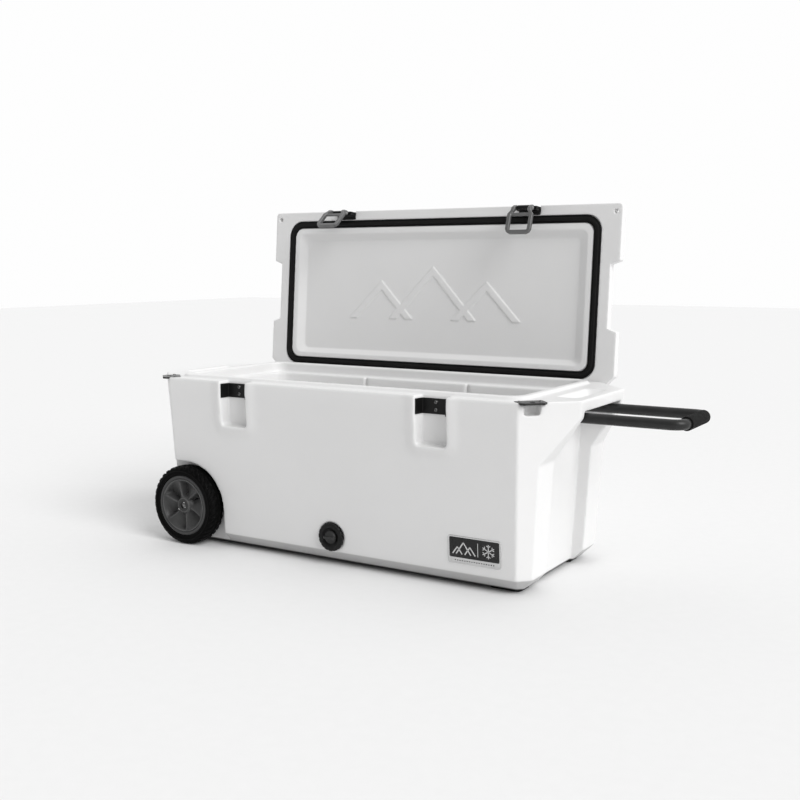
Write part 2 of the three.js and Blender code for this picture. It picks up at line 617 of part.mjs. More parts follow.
const WASHER = { radius: 15, thickness: 1.5 };
const CAP = { radius: 12, crown: 9, height: 2.6, round: 2, seat: 2.1 };
function buildCapNut(side, hubOut) {
  const capIn = hubOut + side * CAP.seat;
  const capTop = side * (WHEEL.face + 2 + GAP);
  return turned([[AXLE_R + GAP, capIn], [CAP.radius, capIn], [CAP.radius, capTop - side * CAP.round],
    [CAP.crown, capTop + side * CAP.round], [0, capTop + side * CAP.height], [0, capTop], [AXLE_R + GAP, capTop],
    [AXLE_R + GAP, capIn]], 28);
}

for (const [side, label] of [[-1, 'front'], [1, 'rear']]) {
  const put = (name, body, material) => place(cooler, `${name}_${label}`,
    geometryOf(body).translate(WHEEL.x, 0, WHEEL.z), material);
  const hubOut = side * (WHEEL.face - RIM.inset - HUB.inset);
  const hubIn = side * (WHEEL.face - WHEEL.width + RIM.inset);
  put('tyre', buildTyre(side), BLACK_RUBBER());
  put('rim', buildRim(side), DARK_PLASTIC());
  put('bush', axleRing(AXLE_R + GAP, HUB.bore - GAP, hubOut, hubIn), BLACK_PLASTIC());
  put('washer', axleRing(AXLE_R + GAP, WASHER.radius, hubOut + side * (GAP + WASHER.thickness),
    hubOut + side * GAP), STEEL());
  put('cap_nut', buildCapNut(side, hubOut), STEEL());
}

// ---------------------------------------------------------------- tow handle
// Points along the handle's centre line, from one pivot round the grip to the other.
function handlePoints() {
  const { x, z, half, reach, bend } = HANDLE;
  const points = [new THREE.Vector3(x, -half, z)];
  const steps = 8;
  for (const [cy, start] of [[-half + bend, -Math.PI / 2], [half - bend, 0]]) {
    for (let i = 0; i <= steps; i += 1) {
      const angle = start + (i / steps) * (Math.PI / 2);
      points.push(new THREE.Vector3(reach - bend + bend * Math.cos(angle), cy + bend * Math.sin(angle), z));
    }
  }
  points.push(new THREE.Vector3(x, half, z));
  return points;
}

// A curve that passes through its points one by one, whatever their spacing.
class PointPath extends THREE.Curve {
  constructor(points) {
    super();
    this.points = points;
  }

  getPoint(t, target = new THREE.Vector3()) {
    const along = t * (this.points.length - 1);
    const index = Math.min(Math.floor(along), this.points.length - 2);
    return target.lerpVectors(this.points[index], this.points[index + 1], along - index);
  }

  getPointAt(u, target) {
    return this.getPoint(u, target);
  }

  getTangentAt(u, target) {
    return this.getTangent(u, target);
  }
}

function circleShape(radius, segments) {
  const points = [...Array(segments).keys()].map((i) => new THREE.Vector2(
    radius * Math.cos((i * TURN) / segments), radius * Math.sin((i * TURN) / segments)));
  return new THREE.Shape(points);
}

function buildHandle() {
  const points = handlePoints();
  const tube = solid(new THREE.ExtrudeGeometry(circleShape(HANDLE.radius, 20), {
    steps: points.length - 1, bevelEnabled: false, extrudePath: new PointPath(points),
  }));
  const eyes = [-1, 1].map((side) => {
    const y = side * HANDLE.half;
    return cylinder('y', HANDLE.radius, y - HANDLE.eyeHalf, y + HANDLE.eyeHalf, HANDLE.x, HANDLE.z, 24);
  });
  const bore = cylinder('y', PIVOT_BOLT.radius + GAP, -HANDLE.half - 20, HANDLE.half + 20, HANDLE.x, HANDLE.z, 20);
  return cut(join(tube, ...eyes), bore);
}
place(cooler, 'handle_tube', buildHandle(), COATED_TUBE());

const gripSleeve = turned([[HANDLE.radius + GAP, -GRIP.half], [GRIP.radius - 1, -GRIP.half],
  [GRIP.radius, -GRIP.half + 1], [GRIP.radius, GRIP.half - 1], [GRIP.radius - 1, GRIP.half],
  [HANDLE.radius + GAP, GRIP.half], [HANDLE.radius + GAP, -GRIP.half]], 28, HANDLE.reach, HANDLE.z);
place(cooler, 'handle_grip', gripSleeve, BLACK_RUBBER());

for (const [side, label] of [[-1, 'front'], [1, 'rear']]) {
  const armIn = HANDLE.half - HANDLE.radius;
  const armOut = HANDLE.half + HANDLE.radius + GAP;
  const wall = RECESS_HALF + 0.2;
  const along = (radius, a, b, segments) => cylinder('y', radius, Math.min(side * a, side * b),
    Math.max(side * a, side * b), HANDLE.x, HANDLE.z, segments);
  const shank = along(PIVOT_BOLT.radius, armIn - 1, wall + PIVOT_BOLT.length, 20);
  const head = along(PIVOT_BOLT.head, armIn - GAP - PIVOT_BOLT.headT, armIn - GAP, 6);
  const spacer = along(PIVOT_BOLT.head, armOut, wall - GAP, 24);
  const spacerBore = along(PIVOT_BOLT.radius + GAP, armOut - 1, wall + 1, 20);
  place(cooler, `handle_bolt_${label}`, join(shank, head), STEEL());
  place(cooler, `handle_spacer_${label}`, cut(spacer, spacerBore), BLACK_PLASTIC());
}

// ---------------------------------------------------------------- hinge rod
place(cooler, 'hinge_rod', cylinder('x', HINGE.rod, -HINGE.rodHalf, HINGE.rodHalf, HINGE.y, HINGE.z, 20), STEEL());

// ---------------------------------------------------------------- lid
const openLid = new THREE.Matrix4()
  .makeTranslation(0, HINGE.y, HINGE.z)
  .multiply(new THREE.Matrix4().makeRotationX(-LID_OPEN))
  .multiply(new THREE.Matrix4().makeTranslation(0, -HINGE.y, -HINGE.z));

function lidOutline() {
  const { x, front, rear, corner, chamfer } = LID;
  const notch = GRIP_NOTCH;
  const arcSteps = 4;
  const half = [];
  for (let i = 0; i <= arcSteps; i += 1) {
    const angle = -Math.PI / 2 + (i / arcSteps) * (Math.PI / 2);
    half.push([x - corner + corner * Math.cos(angle), front + corner + corner * Math.sin(angle)]);
  }
  half.push([x, notch.y0 - notch.slope], [notch.x, notch.y0], [notch.x, notch.y1], [x, notch.y1 + notch.slope]);
  half.push([x, rear - chamfer], [x - chamfer, rear]);
  return [...half, ...half.map(([px, py]) => [-px, py]).reverse()];
}

// Three plain mountain outlines, raised from the pan's floor, with their tops towards the front of the lid.
function peaks() {
  const y0 = SEAL_Y + PEAKS.foot;
  const inset = PEAKS.line * PEAKS.mitre;
  const shapes = [-PEAKS.spread, 0, PEAKS.spread].map((cx) => {
    const height = cx ? PEAKS.sideHigh : PEAKS.high;
    const half = (cx ? PEAKS.sideWide : PEAKS.wide) / 2;
    const outline = [[cx, y0 - height + inset], [cx - half + inset, y0], [cx - half, y0], [cx, y0 - height],
      [cx + half, y0], [cx + half - inset, y0]];
    return solid(prism(outline, 2 * PEAKS.rise).translate(0, 0, LID_Z + PAN.depth - PEAKS.rise));
  });
  return join(...shapes);
}

// The seal's ring, or the groove for it where slack widens it.
function ringSolid(z0, z1, slack) {
  const { out, in: inn, corner, width } = GASKET;
  const outer = hull([z0, z1].flatMap((z) => roundedSheet(-out.x - slack, out.x + slack, SEAL_Y - out.y - slack,
    SEAL_Y + out.y + slack, z, corner, 8)));
  const inner = hull([z0 - 1, z1 + 1].flatMap((z) => roundedSheet(-inn.x + slack, inn.x - slack,
    SEAL_Y - inn.y + slack, SEAL_Y + inn.y - slack, z, corner - width, 8)));
  return cut(outer, inner);
}

function latchBaseHoles(side) {
  return LATCH_BASE.screws.map((dx) => cylinder('y', SCREW.bore, LID.front - 6, LATCH_NOTCH.y + 16,
    side * LATCH_X + dx, LATCH_BASE.screwZ, 12));
}

function buildLid() {
  const skirt = solid(prism(lidOutline(), SKIRT_TOP - LID_Z).translate(0, 0, LID_Z));
  const crown = hull([
    ...roundedSheet(-CROWN.x, CROWN.x, CROWN.y0, CROWN.y1, SKIRT_TOP - 1, CROWN.corner),
    ...roundedSheet(-CROWN.x + CROWN.slope, CROWN.x - CROWN.slope, CROWN.y0 + CROWN.slope, CROWN.y1 - CROWN.slope,
      CROWN_TOP, CROWN.topCorner),
  ]);
  const pan = hull([
    ...roundedSheet(-PAN.x, PAN.x, PAN.y0, PAN.y1, LID_Z - 1, PAN.corner),
    ...roundedSheet(-PAN.x + PAN.slope, PAN.x - PAN.slope, PAN.y0 + PAN.frontSlope, PAN.y1 - PAN.rearSlope,
      LID_Z + PAN.depth, PAN.floorCorner),
  ]);
  let lid = cut(join(skirt, crown), pan);
  lid = join(lid, peaks());
  lid = cut(lid, ringSolid(LID_Z - 1, LID_Z + GASKET.groove, GAP));
  for (const side of [-1, 1]) {
    const x = side * LATCH_X;
    lid = cut(lid, box(x - LATCH_NOTCH.half, x + LATCH_NOTCH.half, LID.front - 5, LATCH_NOTCH.y, LID_Z - 5,
      SKIRT_TOP + 5), ...latchBaseHoles(side));
    lid = cut(lid, cylinder('z', PADLOCK.radius, LID_Z - 5, SKIRT_TOP + 5, side * PADLOCK.x, PADLOCK.y, 20));
  }
  for (const span of LID_KNUCKLES) {
    const barrel = cylinder('x', HINGE.knuckle, ...span, HINGE.y, HINGE.z, 24);
    const neck = box(...span, HINGE.y - HINGE.knuckle, HINGE.y + HINGE.knuckle, HINGE.z, LID_Z + 2);
    lid = join(lid, barrel, neck);
  }
  return cut(lid, cylinder('x', HINGE.bore, -HINGE_REBATE.half, HINGE_REBATE.half, HINGE.y, HINGE.z, 24));
}

function placeOnLid(name, body, material) {
  return place(lidGroup, name, geometryOf(body).applyMatrix4(openLid), material);
}
placeOnLid('lid', buildLid(), WHITE_PE());
placeOnLid('lid_gasket', ringSolid(LID_Z - GASKET.proud, LID_Z + GASKET.groove - GAP, 0), BLACK_RUBBER());

// ---------------------------------------------------------------- latches
function buildLatchBase(side) {
  const x = side * LATCH_X;
  const { front, rearLow, drop } = LATCH_BASE;
  const back = LATCH_NOTCH.y - GAP;
  const half = LATCH_NOTCH.half - LATCH_NOTCH.clear;
  const mount = box(x - half, x + half, front, back, LID_Z - drop, SKIRT_TOP);
  const shoulder = box(x - half, x + half, front, rearLow, LATCH_BASE.shoulder, LID_Z);
  const tongueAt = (y0, y1, z) => sheet(x - TONGUE_HALF, x + TONGUE_HALF, y0, y1, z);
  const tongue = hull([
    ...tongueAt(front, rearLow, LATCH_BASE.shoulder + 1),
    ...tongueAt(front, rearLow, LATCH_PIN.z - 1),
    ...tongueAt(LATCH_PIN.y - LATCH_PIN.radius, LATCH_PIN.y + LATCH_PIN.radius, LATCH_PIN.z - 5.5),
  ]);
  const bore = cylinder('x', LATCH_PIN.radius + GAP, x - FRAME.half, x + FRAME.half, LATCH_PIN.y, LATCH_PIN.z, 16);
  return cut(join(mount, shoulder, tongue), bore, ...latchBaseHoles(side));
}

// The frame as it hangs when the lid is shut: two side bars with eyes at the pin, a foot and a rung.
function buildLatchFrame(side) {
  const x = side * LATCH_X;
  const { front, half, inner, thickness, foot: footZ, footCorner } = FRAME;
  const back = front + thickness;
  const pin = LATCH_PIN;
  const bars = [];
  for (const sx of [-1, 1]) {
    const across = ([near, far]) => (sx > 0 ? [x + near, x + far] : [x - far, x - near]);
    const bar = across([inner, half]);
    const ear = across(FRAME.ear);
    bars.push(box(...bar, front, back, footZ + footCorner - 1, pin.z - 19));
    bars.push(hull([...sheet(...bar, front, back, pin.z - 20), ...sheet(...ear, front, back, pin.z - 11)]));
    bars.push(hull([
      ...sheet(...ear, front, back, pin.z - 12),
      ...sheet(...ear, front + 2, back, pin.z - 3),
      ...sheet(...ear, pin.y - 5, pin.y + 4.8, pin.z - 3),
      ...sheet(...ear, pin.y - 3, pin.y + 3, pin.z + 5.5),
    ]));
  }
  const footAt = (inset, rise) => sheet(x - half + inset, x + half - inset, front, back, footZ + rise);
  const foot = cut(hull([...footAt(footCorner, 0), ...footAt(footCorner / 3, footCorner / 3), ...footAt(0, footCorner)]),
    box(x - inner, x + inner, front - 1, back + 1, footZ + thickness, footZ + footCorner + 1));
  const rung = box(x - inner - 1, x + inner + 1, front + 2, back - 2, ...FRAME.rung);
  const bore = cylinder('x', pin.radius + GAP, x - half - 1, x + half + 1, pin.y, pin.z, 16);
  return cut(join(...bars, foot, rung), bore);
}

for (const [side, label] of [[-1, 'left'], [1, 'right']]) {
  const x = side * LATCH_X;
  const pinHalf = FRAME.ear[1] - 0.5;
  placeOnLid(`latch_base_${label}`, buildLatchBase(side), BLACK_PLASTIC());
  placeOnLid(`latch_pin_${label}`, cylinder('x', LATCH_PIN.radius, x - pinHalf, x + pinHalf, LATCH_PIN.y,
    LATCH_PIN.z, 16), STEEL());
  LATCH_BASE.screws.forEach((dx, i) => placeOnLid(`latch_screw_${label}_${i + 1}`,
    screwY(x + dx, LATCH_BASE.front - SCREW.seat, LATCH_BASE.screwZ, LATCH_BASE.screwLength), STEEL()));
  // The frame hangs from its pin: its angle is measured from straight down once the lid is open.
  const swing = LID_OPEN - THREE.MathUtils.degToRad(LATCH_ANGLE[label]);
  const about = new THREE.Matrix4()
    .makeTranslation(0, LATCH_PIN.y, LATCH_PIN.z)
    .multiply(new THREE.Matrix4().makeRotationX(swing))
    .multiply(new THREE.Matrix4().makeTranslation(0, -LATCH_PIN.y, -LATCH_PIN.z));
  const frame = geometryOf(buildLatchFrame(side)).applyMatrix4(about).applyMatrix4(openLid);
  place(lidGroup, `latch_frame_${label}`, frame, GREY_METAL());
}

// ---------------------------------------------------------------- onto the floor, centred in plan
cooler.updateMatrixWorld(true);
const bounds = new THREE.Box3().setFromObject(cooler);
const centre = bounds.getCenter(new THREE.Vector3());
cooler.position.set(-centre.x, -centre.y, -bounds.min.z);
cooler.updateMatrixWorld(true);

export default cooler;
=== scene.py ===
import math

import bmesh
import bpy
from mathutils import Matrix, Vector
from mathutils.bvhtree import BVHTree
from mathutils.kdtree import KDTree


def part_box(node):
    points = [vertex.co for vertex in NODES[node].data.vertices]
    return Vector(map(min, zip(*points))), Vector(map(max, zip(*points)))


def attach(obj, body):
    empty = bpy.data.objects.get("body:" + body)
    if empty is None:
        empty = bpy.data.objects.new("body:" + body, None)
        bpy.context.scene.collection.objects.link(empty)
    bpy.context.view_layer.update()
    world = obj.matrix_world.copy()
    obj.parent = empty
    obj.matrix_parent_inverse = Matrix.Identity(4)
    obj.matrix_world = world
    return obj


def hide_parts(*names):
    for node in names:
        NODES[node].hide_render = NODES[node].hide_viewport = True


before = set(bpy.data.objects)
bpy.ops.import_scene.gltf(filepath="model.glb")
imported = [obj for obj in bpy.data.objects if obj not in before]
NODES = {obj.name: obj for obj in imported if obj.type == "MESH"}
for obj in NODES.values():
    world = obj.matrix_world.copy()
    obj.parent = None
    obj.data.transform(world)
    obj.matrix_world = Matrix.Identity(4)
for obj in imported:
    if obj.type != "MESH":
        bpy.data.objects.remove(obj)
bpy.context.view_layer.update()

MM = 0.001
TURN = 2 * math.pi

# ---------------------------------------------------------------- places
tub_low, tub_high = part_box("tub")
lid_low, lid_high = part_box("lid")
CENTRE_X = (tub_low.x + tub_high.x) / 2
CENTRE_Y = (tub_low.y + tub_high.y) / 2
BASE_DROP = 15 * MM      # the underside is this far below the design's zero height
HINGE = Vector((CENTRE_X, CENTRE_Y + 204 * MM, tub_low.z + BASE_DROP + 369 * MM))
LID_OPEN = math.radians(94.7)


def at(x, y, z):
    """A point of the tub, from millimetres in the design's own frame."""
    return Vector((CENTRE_X + x * MM, CENTRE_Y + y * MM, tub_low.z + BASE_DROP + z * MM))


def design(place):
    """The same place in millimetres of the design's own frame."""
    base = at(0, 0, 0)
    return ((place.x - base.x) / MM, (place.y - base.y) / MM, (place.z - base.z) / MM)


TO_OPEN = Matrix.Translation(HINGE) @ Matrix.Rotation(-LID_OPEN, 4, "X") @ Matrix.Translation(-HINGE)
LATCH_X = 260
SIDES = ((-1, "left"), (1, "right"))
ENDS = ((-1, "front"), (1, "rear"))


# ---------------------------------------------------------------- mesh tools
def link(name, mesh):
    piece = bpy.data.objects.new(name, mesh)
    bpy.context.scene.collection.objects.link(piece)
    return piece


def from_bmesh(name, bm):
    bmesh.ops.recalc_face_normals(bm, faces=bm.faces)
    mesh = bpy.data.meshes.new(name)
    bm.to_mesh(mesh)
    bm.free()
    return link(name, mesh)


def from_faces(name, points, faces):
    mesh = bpy.data.meshes.new(name)
    mesh.from_pydata([tuple(p) for p in points], [], faces)
    mesh.validate()
    piece = link(name, mesh)
    bm = bmesh.new()
    bm.from_mesh(mesh)
    bmesh.ops.recalc_face_normals(bm, faces=bm.faces)
    bm.to_mesh(mesh)
    bm.free()
    return piece


def settle(piece):
    """Applies every modifier of a piece."""
    bpy.context.view_layer.update()
    done = bpy.data.meshes.new_from_object(piece.evaluated_get(bpy.context.evaluated_depsgraph_get()))
    piece.modifiers.clear()
    old = piece.data
    piece.data = done
    bpy.data.meshes.remove(old)
    return piece


def drop(*pieces):
    for piece in pieces:
        mesh = piece.data
        bpy.data.objects.remove(piece)
        bpy.data.meshes.remove(mesh)


def copy_of(node, name):
    """A welded copy of a CAD node's mesh."""
    bm = bmesh.new()
    bm.from_mesh(NODES[node].data)
    bmesh.ops.remove_doubles(bm, verts=bm.verts, dist=1e-6)
    mesh = bpy.data.meshes.new(name)
    bm.to_mesh(mesh)
    bm.free()
    return link(name, mesh)


def joined(name, *pieces):
    """One piece that holds the meshes of all of them."""
    bm = bmesh.new()
    for piece in pieces:
        bm.from_mesh(piece.data)
    drop(*pieces)
    mesh = bpy.data.meshes.new(name)
    bm.to_mesh(mesh)
    bm.free()
    return link(name, mesh)


def smooth_shade(piece, angle=None):
    for polygon in piece.data.polygons:
        polygon.use_smooth = True
    if angle:
        mark_sharp(piece, math.radians(angle))
    return piece


def mark_sharp(piece, limit):
    bm = bmesh.new()
    bm.from_mesh(piece.data)
    for edge in bm.edges:
        edge.smooth = edge.calc_face_angle(0) < limit
    bm.to_mesh(piece.data)
    bm.free()


def crease_tree(piece, step, angle):
    """Points along the piece's creases, for measuring how far a place is from the nearest one."""
    bm = bmesh.new()
    bm.from_mesh(piece.data)
    spots = []
    for edge in bm.edges:
        if edge.calc_face_angle(math.pi) < angle:
            continue
        a, b = (v.co for v in edge.verts)
        count = max(1, int((b - a).length / step))
        spots.extend(a.lerp(b, i / count) for i in range(count + 1))
    bm.free()
    tree = KDTree(len(spots))
    for i, spot in enumerate(spots):
        tree.insert(spot, i)
    tree.balance()
    return tree


def mould(piece, voxel, passes, reach, faces, crease=3.0, gentle=None):
    """Remeshes a closed piece, rounds its creases over about reach, and puts its flats back where they were.
    gentle(place) from 0 to 1 says how strongly a place is rounded."""
    tree = crease_tree(piece, voxel, math.radians(crease))
    bm = bmesh.new()
    bm.from_mesh(piece.data)
    surface = BVHTree.FromBMesh(bm)
    bm.free()
    remesh = piece.modifiers.new("remesh", "REMESH")
    remesh.mode = "VOXEL"
    remesh.voxel_size = voxel * 1.0
    settle(piece)
    if gentle:
        group = piece.vertex_groups.new(name="round")
        for vertex in piece.data.vertices:
            group.add([vertex.index], gentle(vertex.co), "REPLACE")
    soften = piece.modifiers.new("soften", "SMOOTH")
    soften.factor = 0.5
    soften.iterations = passes // 1
    if gentle:
        soften.vertex_group = "round"
    before = [v.co.copy() for v in piece.data.vertices]
    settle(piece)
    for vertex, old in zip(piece.data.vertices, before):
        away = tree.find(old)[2]
        strength = gentle(old) if gentle else 1.0
        share = (away / (reach * max(strength, 0.25)) - 0.6) / 0.8
        if share <= 0:
            continue
        share = min(1.0, share)
        share = share * share * (3 - 2 * share)
        near = surface.find_nearest(old)[0]
        vertex.co = vertex.co.lerp(near, share)
    triangles = 2 * len(piece.data.polygons)
    if triangles > faces:
        thin = piece.modifiers.new("thin", "DECIMATE")
        thin.ratio = faces / triangles
        settle(piece)
    return smooth_shade(piece)


def block(name, low, high):
    bm = bmesh.new()
    bmesh.ops.create_cube(bm, size=1)
    low, high = Vector(low), Vector(high)
    for vertex in bm.verts:
        vertex.co = Vector(low[i] + (vertex.co[i] + 0.5) * (high[i] - low[i]) for i in range(3))
    return from_bmesh(name, bm)


def prism(name, outline, plane, depth):
    """An outline of 2-D points, placed by plane(u, v, w) and run from w = 0 to depth."""
    bm = bmesh.new()
    rings = [[bm.verts.new(plane(u, v, w)) for u, v in outline] for w in (0, depth)]
    bm.faces.new(rings[0])
    bm.faces.new(rings[1])
    for i in range(len(outline)):
        k = (i + 1) % len(outline)
        bm.faces.new((rings[0][i], rings[0][k], rings[1][k], rings[1][i]))
    return from_bmesh(name, bm)


def lathe(name, profile, centre, axis="Y", segments=64):
    """A turned piece: profile holds [radius, along] pairs in metres, along runs on the axis."""
    bm = bmesh.new()
    rings = []
    for radius, along in profile:
        ring = []
        for i in range(segments if radius > 1e-7 else 1):
            angle = i / segments * TURN
            a, b = radius * math.cos(angle), radius * math.sin(angle)
            offset = (a, along, b) if axis == "Y" else (a, b, along) if axis == "Z" else (along, a, b)
            ring.append(bm.verts.new(centre + Vector(offset)))
        rings.append(ring)
    for first, second in zip(rings, rings[1:]):
        for i in range(segments):
            k = (i + 1) % segments
            corners = [
                first[i % len(first)], first[k % len(first)],
                second[k % len(second)], second[i % len(second)],
            ]
            corners = list(dict.fromkeys(corners))
            if len(corners) > 2:
                bm.faces.new(corners)
    return from_bmesh(name, bm)


def sweep(name, path, section, closed=False):
    """A section of [across, up] pairs carried along a path; each path point is (place, across, up)."""
    bm = bmesh.new()
    rings = [[bm.verts.new(place + across * a + up * b) for a, b in section] for place, across, up in path]
    pairs = list(zip(rings, rings[1:]))
    if closed:
        pairs.append((rings[-1], rings[0]))
    for first, second in pairs:
        for i in range(len(section)):
            k = (i + 1) % len(section)
            bm.faces.new((first[i], first[k], second[k], second[i]))
    if not closed:
        bm.faces.new(rings[0])
        bm.faces.new(rings[-1])
    return from_bmesh(name, bm)


def arc(radius, start, end, count, centre=(0.0, 0.0)):
    return [
        (centre[0] + radius * math.cos(a), centre[1] + radius * math.sin(a))
        for a in (math.radians(start + (end - start) * i / count) for i in range(count + 1))
    ]


def rounded_rectangle(x0, x1, y0, y1, radius, steps=6):
    corners = ((x1 - radius, y1 - radius, 0), (x0 + radius, y1 - radius, 90),
               (x0 + radius, y0 + radius, 180), (x1 - radius, y0 + radius, 270))
    return [p for x, y, start in corners for p in arc(radius, start, start + 90, steps, (x, y))]


def bevel(piece, width, segments=3, angle=30):
    modifier = piece.modifiers.new("bevel", "BEVEL")
    modifier.width = width
    modifier.segments = segments
    modifier.limit_method = "ANGLE"
    modifier.angle_limit = math.radians(angle)
    modifier.harden_normals = False
    return piece


def finish_piece(piece, body, material, slot, *nodes):
    piece.data.materials.clear()
    piece.data.materials.append(material)
    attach(piece, body)
    if nodes:
        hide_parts(*nodes)
    return piece


# ---------------------------------------------------------------- materials
class Surface:
    """A node material built step by step on one Principled shader, in the piece's own coordinates."""

    def __init__(self, name, **shader):
        self.material = bpy.data.materials.new(name)
        self.material.use_nodes = True
        self.tree = self.material.node_tree
        self.shader = self.tree.nodes["Principled BSDF"]
        for socket, value in shader.items():
            self.shader.inputs[socket.replace("_", " ")].default_value = value
        self.place = self.tree.nodes.new("ShaderNodeTexCoord").outputs["Object"]
        self.normal = None

    def node(self, kind, links=None, **settings):
        made = self.tree.nodes.new(kind)
        for key, value in settings.items():
            if key in made.inputs:
                made.inputs[key].default_value = value
            else:
                setattr(made, key, value)
        for key, output in (links or {}).items():
            self.tree.links.new(output, made.inputs[key])
        return made

    def stretched(self, scale):
        return self.node("ShaderNodeMapping", {"Vector": self.place}, Scale=scale).outputs["Vector"]

    def noise(self, scale, detail=3.0, rough=0.5, stretch=None):
        vector = self.stretched(stretch) if stretch else self.place
        return self.node("ShaderNodeTexNoise", {"Vector": vector}, Scale=scale, Detail=detail,
                         Roughness=rough).outputs["Fac"]

    def cells(self, scale, stretch=None):
        vector = self.stretched(stretch) if stretch else self.place
        return self.node("ShaderNodeTexVoronoi", {"Vector": vector}, Scale=scale).outputs["Distance"]

    def spread(self, value, low, high, to_low, to_high):
        made = self.node("ShaderNodeMapRange", {"Value": value})
        for key, number in (("From Min", low), ("From Max", high), ("To Min", to_low), ("To Max", to_high)):
            made.inputs[key].default_value = number
        return made.outputs["Result"]

    def colours(self, value, stops):
        ramp = self.node("ShaderNodeValToRGB", {"Fac": value})
        elements = ramp.color_ramp.elements
        while len(elements) < len(stops):
            elements.new(0.5)
        for element, (position, colour) in zip(elements, stops):
            element.position = position
            element.color = (*colour, 1.0)
        return ramp.outputs["Color"]

    def blend(self, share, first, second):
        mix = self.node("ShaderNodeMix", data_type="RGBA")
        self.tree.links.new(share, mix.inputs[0])
        self.tree.links.new(first, mix.inputs[6])
        if isinstance(second, tuple):
            mix.inputs[7].default_value = (*second, 1.0)
        else:
            self.tree.links.new(second, mix.inputs[7])
        return mix.outputs[2]

    def standing_edges(self, low=0.53, high=0.62):
        """1 along edges that stand out, 0 on flats and in hollows."""
        geometry = self.node("ShaderNodeNewGeometry")
        return self.spread(geometry.outputs["Pointiness"], low, high, 0.0, 1.0)

    def bump(self, height, distance, strength=1.0):
        links = {"Height": height}
        if self.normal:
            links["Normal"] = self.normal
        bump = self.node("ShaderNodeBump", links, Distance=distance, Strength=strength)
        self.normal = bump.outputs["Normal"]

    def use(self, socket, output):
        self.tree.links.new(output, self.shader.inputs[socket])

    def done(self):
        if self.normal:
            self.use("Normal", self.normal)
        return self.material


def grey(value, warmth=0.0):
    return (value * (1 + warmth), value, value * (1 - warmth))


# Heights above the floor. Both tones stand in for shade that the photo shows and this light doesn't give: they
# aren't dirt or colour on the real cooler.
UNDERSIDE_FROM, UNDERSIDE_TO = 0.0100, 0.0125
SHADE_TOP, SHADE_FADE = 0.045, 0.01


def shell_plastic():
    """White moulded polyethylene: satin, with orange peel, flow marks and scuffs, with painted shade on its low,
    downward faces and a painted shadow on its underside.
    """
    s = Surface("shell_plastic", Specular_IOR_Level=0.42, IOR=1.5)
    tone = s.noise(3.2, 4.0)
    base = s.colours(tone, ((0.25, grey(0.755, 0.002)), (0.75, grey(0.785, 0.002))))
    specks = s.spread(s.cells(420.0), 0.0, 0.16, 1.0, 0.0)
    base = s.blend(s.spread(specks, 0.0, 1.0, 0.0, 0.10), base, grey(0.5))
    height = s.node("ShaderNodeSeparateXYZ", {"Vector": s.place}).outputs["Z"]
    normal = s.node("ShaderNodeNewGeometry").outputs["Normal"]
    facing = s.node("ShaderNodeSeparateXYZ", {"Vector": normal}).outputs["Z"]
    # painted shade: low faces that look down are darkened towards grey(0.12), as if in shade
    low_down = s.spread(height, SHADE_TOP, SHADE_TOP + SHADE_FADE, 1.0, 0.0)
    looks_down = s.spread(facing, -0.6, -0.3, 0.4, 0.0)
    shade = s.node("ShaderNodeMath", operation="MULTIPLY", links={0: low_down, 1: looks_down}).outputs[0]
    base = s.blend(shade, base, grey(0.12, 0.01))
    # painted shadow: the underside is made near black, as if in contact shadow
    underside = s.spread(height, UNDERSIDE_FROM, UNDERSIDE_TO, 1.0, 0.0)
    s.use("Base Color", s.blend(underside, base, grey(0.02, 0.01)))
    scuffs = s.noise(55.0, 6.0, 0.6, stretch=(0.35, 1.0, 1.6))
    s.use("Roughness", s.spread(scuffs, 0.3, 0.7, 0.36, 0.50))
    s.bump(s.noise(260.0, 2.0, 0.45), 0.00022, 0.55)
    s.bump(s.noise(900.0, 2.0, 0.5), 0.00006, 0.6)
    s.bump(s.noise(9.0, 2.0, 0.4), 0.0012, 0.25)
    return s.done()


def black_rubber(name="black_rubber", tone=0.0045, grain=700.0):
    """Matt rubber with a fine grain and a dusty bloom."""
    s = Surface(name, Specular_IOR_Level=0.16)
    dust = s.noise(38.0, 5.0, 0.6)
    s.use("Base Color", s.colours(dust, ((0.35, grey(tone)), (0.72, grey(tone * 1.9, 0.02)))))
    s.use("Roughness", s.spread(dust, 0.3, 0.7, 0.55, 0.78))
    s.bump(s.noise(grain, 3.0, 0.6), 0.00008, 0.6)
    return s.done()


def tyre_rubber():
    """Solid tyre: near-black, with a worn, slightly lighter tread and fine moulding rings."""
    s = Surface("tyre_rubber", Specular_IOR_Level=0.05)
    dust = s.noise(30.0, 5.0, 0.65)
    base = s.colours(dust, ((0.35, grey(0.0009)), (0.75, grey(0.0028, 0.03))))
    base = s.blend(s.standing_edges(0.52, 0.60), base, grey(0.016, 0.02))
    s.use("Base Color", base)
    s.use("Roughness", s.spread(dust, 0.3, 0.7, 0.42, 0.66))
    s.bump(s.noise(520.0, 3.0, 0.6), 0.0001, 0.6)
    s.bump(s.noise(90.0, 3.0, 0.6), 0.0003, 0.3)
    return s.done()


def textured_plastic(name, tone, roughness, grain=1100.0, edge=1.7):
    """Moulded plastic with a spark-eroded grain and lighter rubbed edges; a high edge value lightens them
    further as a painted highlight.
    """
    s = Surface(name, Specular_IOR_Level=0.22)
    patch = s.noise(24.0, 4.0, 0.55)
    base = s.colours(patch, ((0.3, grey(tone * 0.88)), (0.7, grey(tone * 1.12))))
    base = s.blend(s.standing_edges(), base, grey(tone * edge + 0.006))
    s.use("Base Color", base)
    s.use("Roughness", s.spread(s.noise(120.0, 4.0, 0.6), 0.3, 0.7, roughness - 0.08, roughness + 0.08))
    s.bump(s.cells(grain), 0.00005, 0.5)
    s.bump(s.noise(grain / 3, 2.0, 0.5), 0.00006, 0.4)
    return s.done()


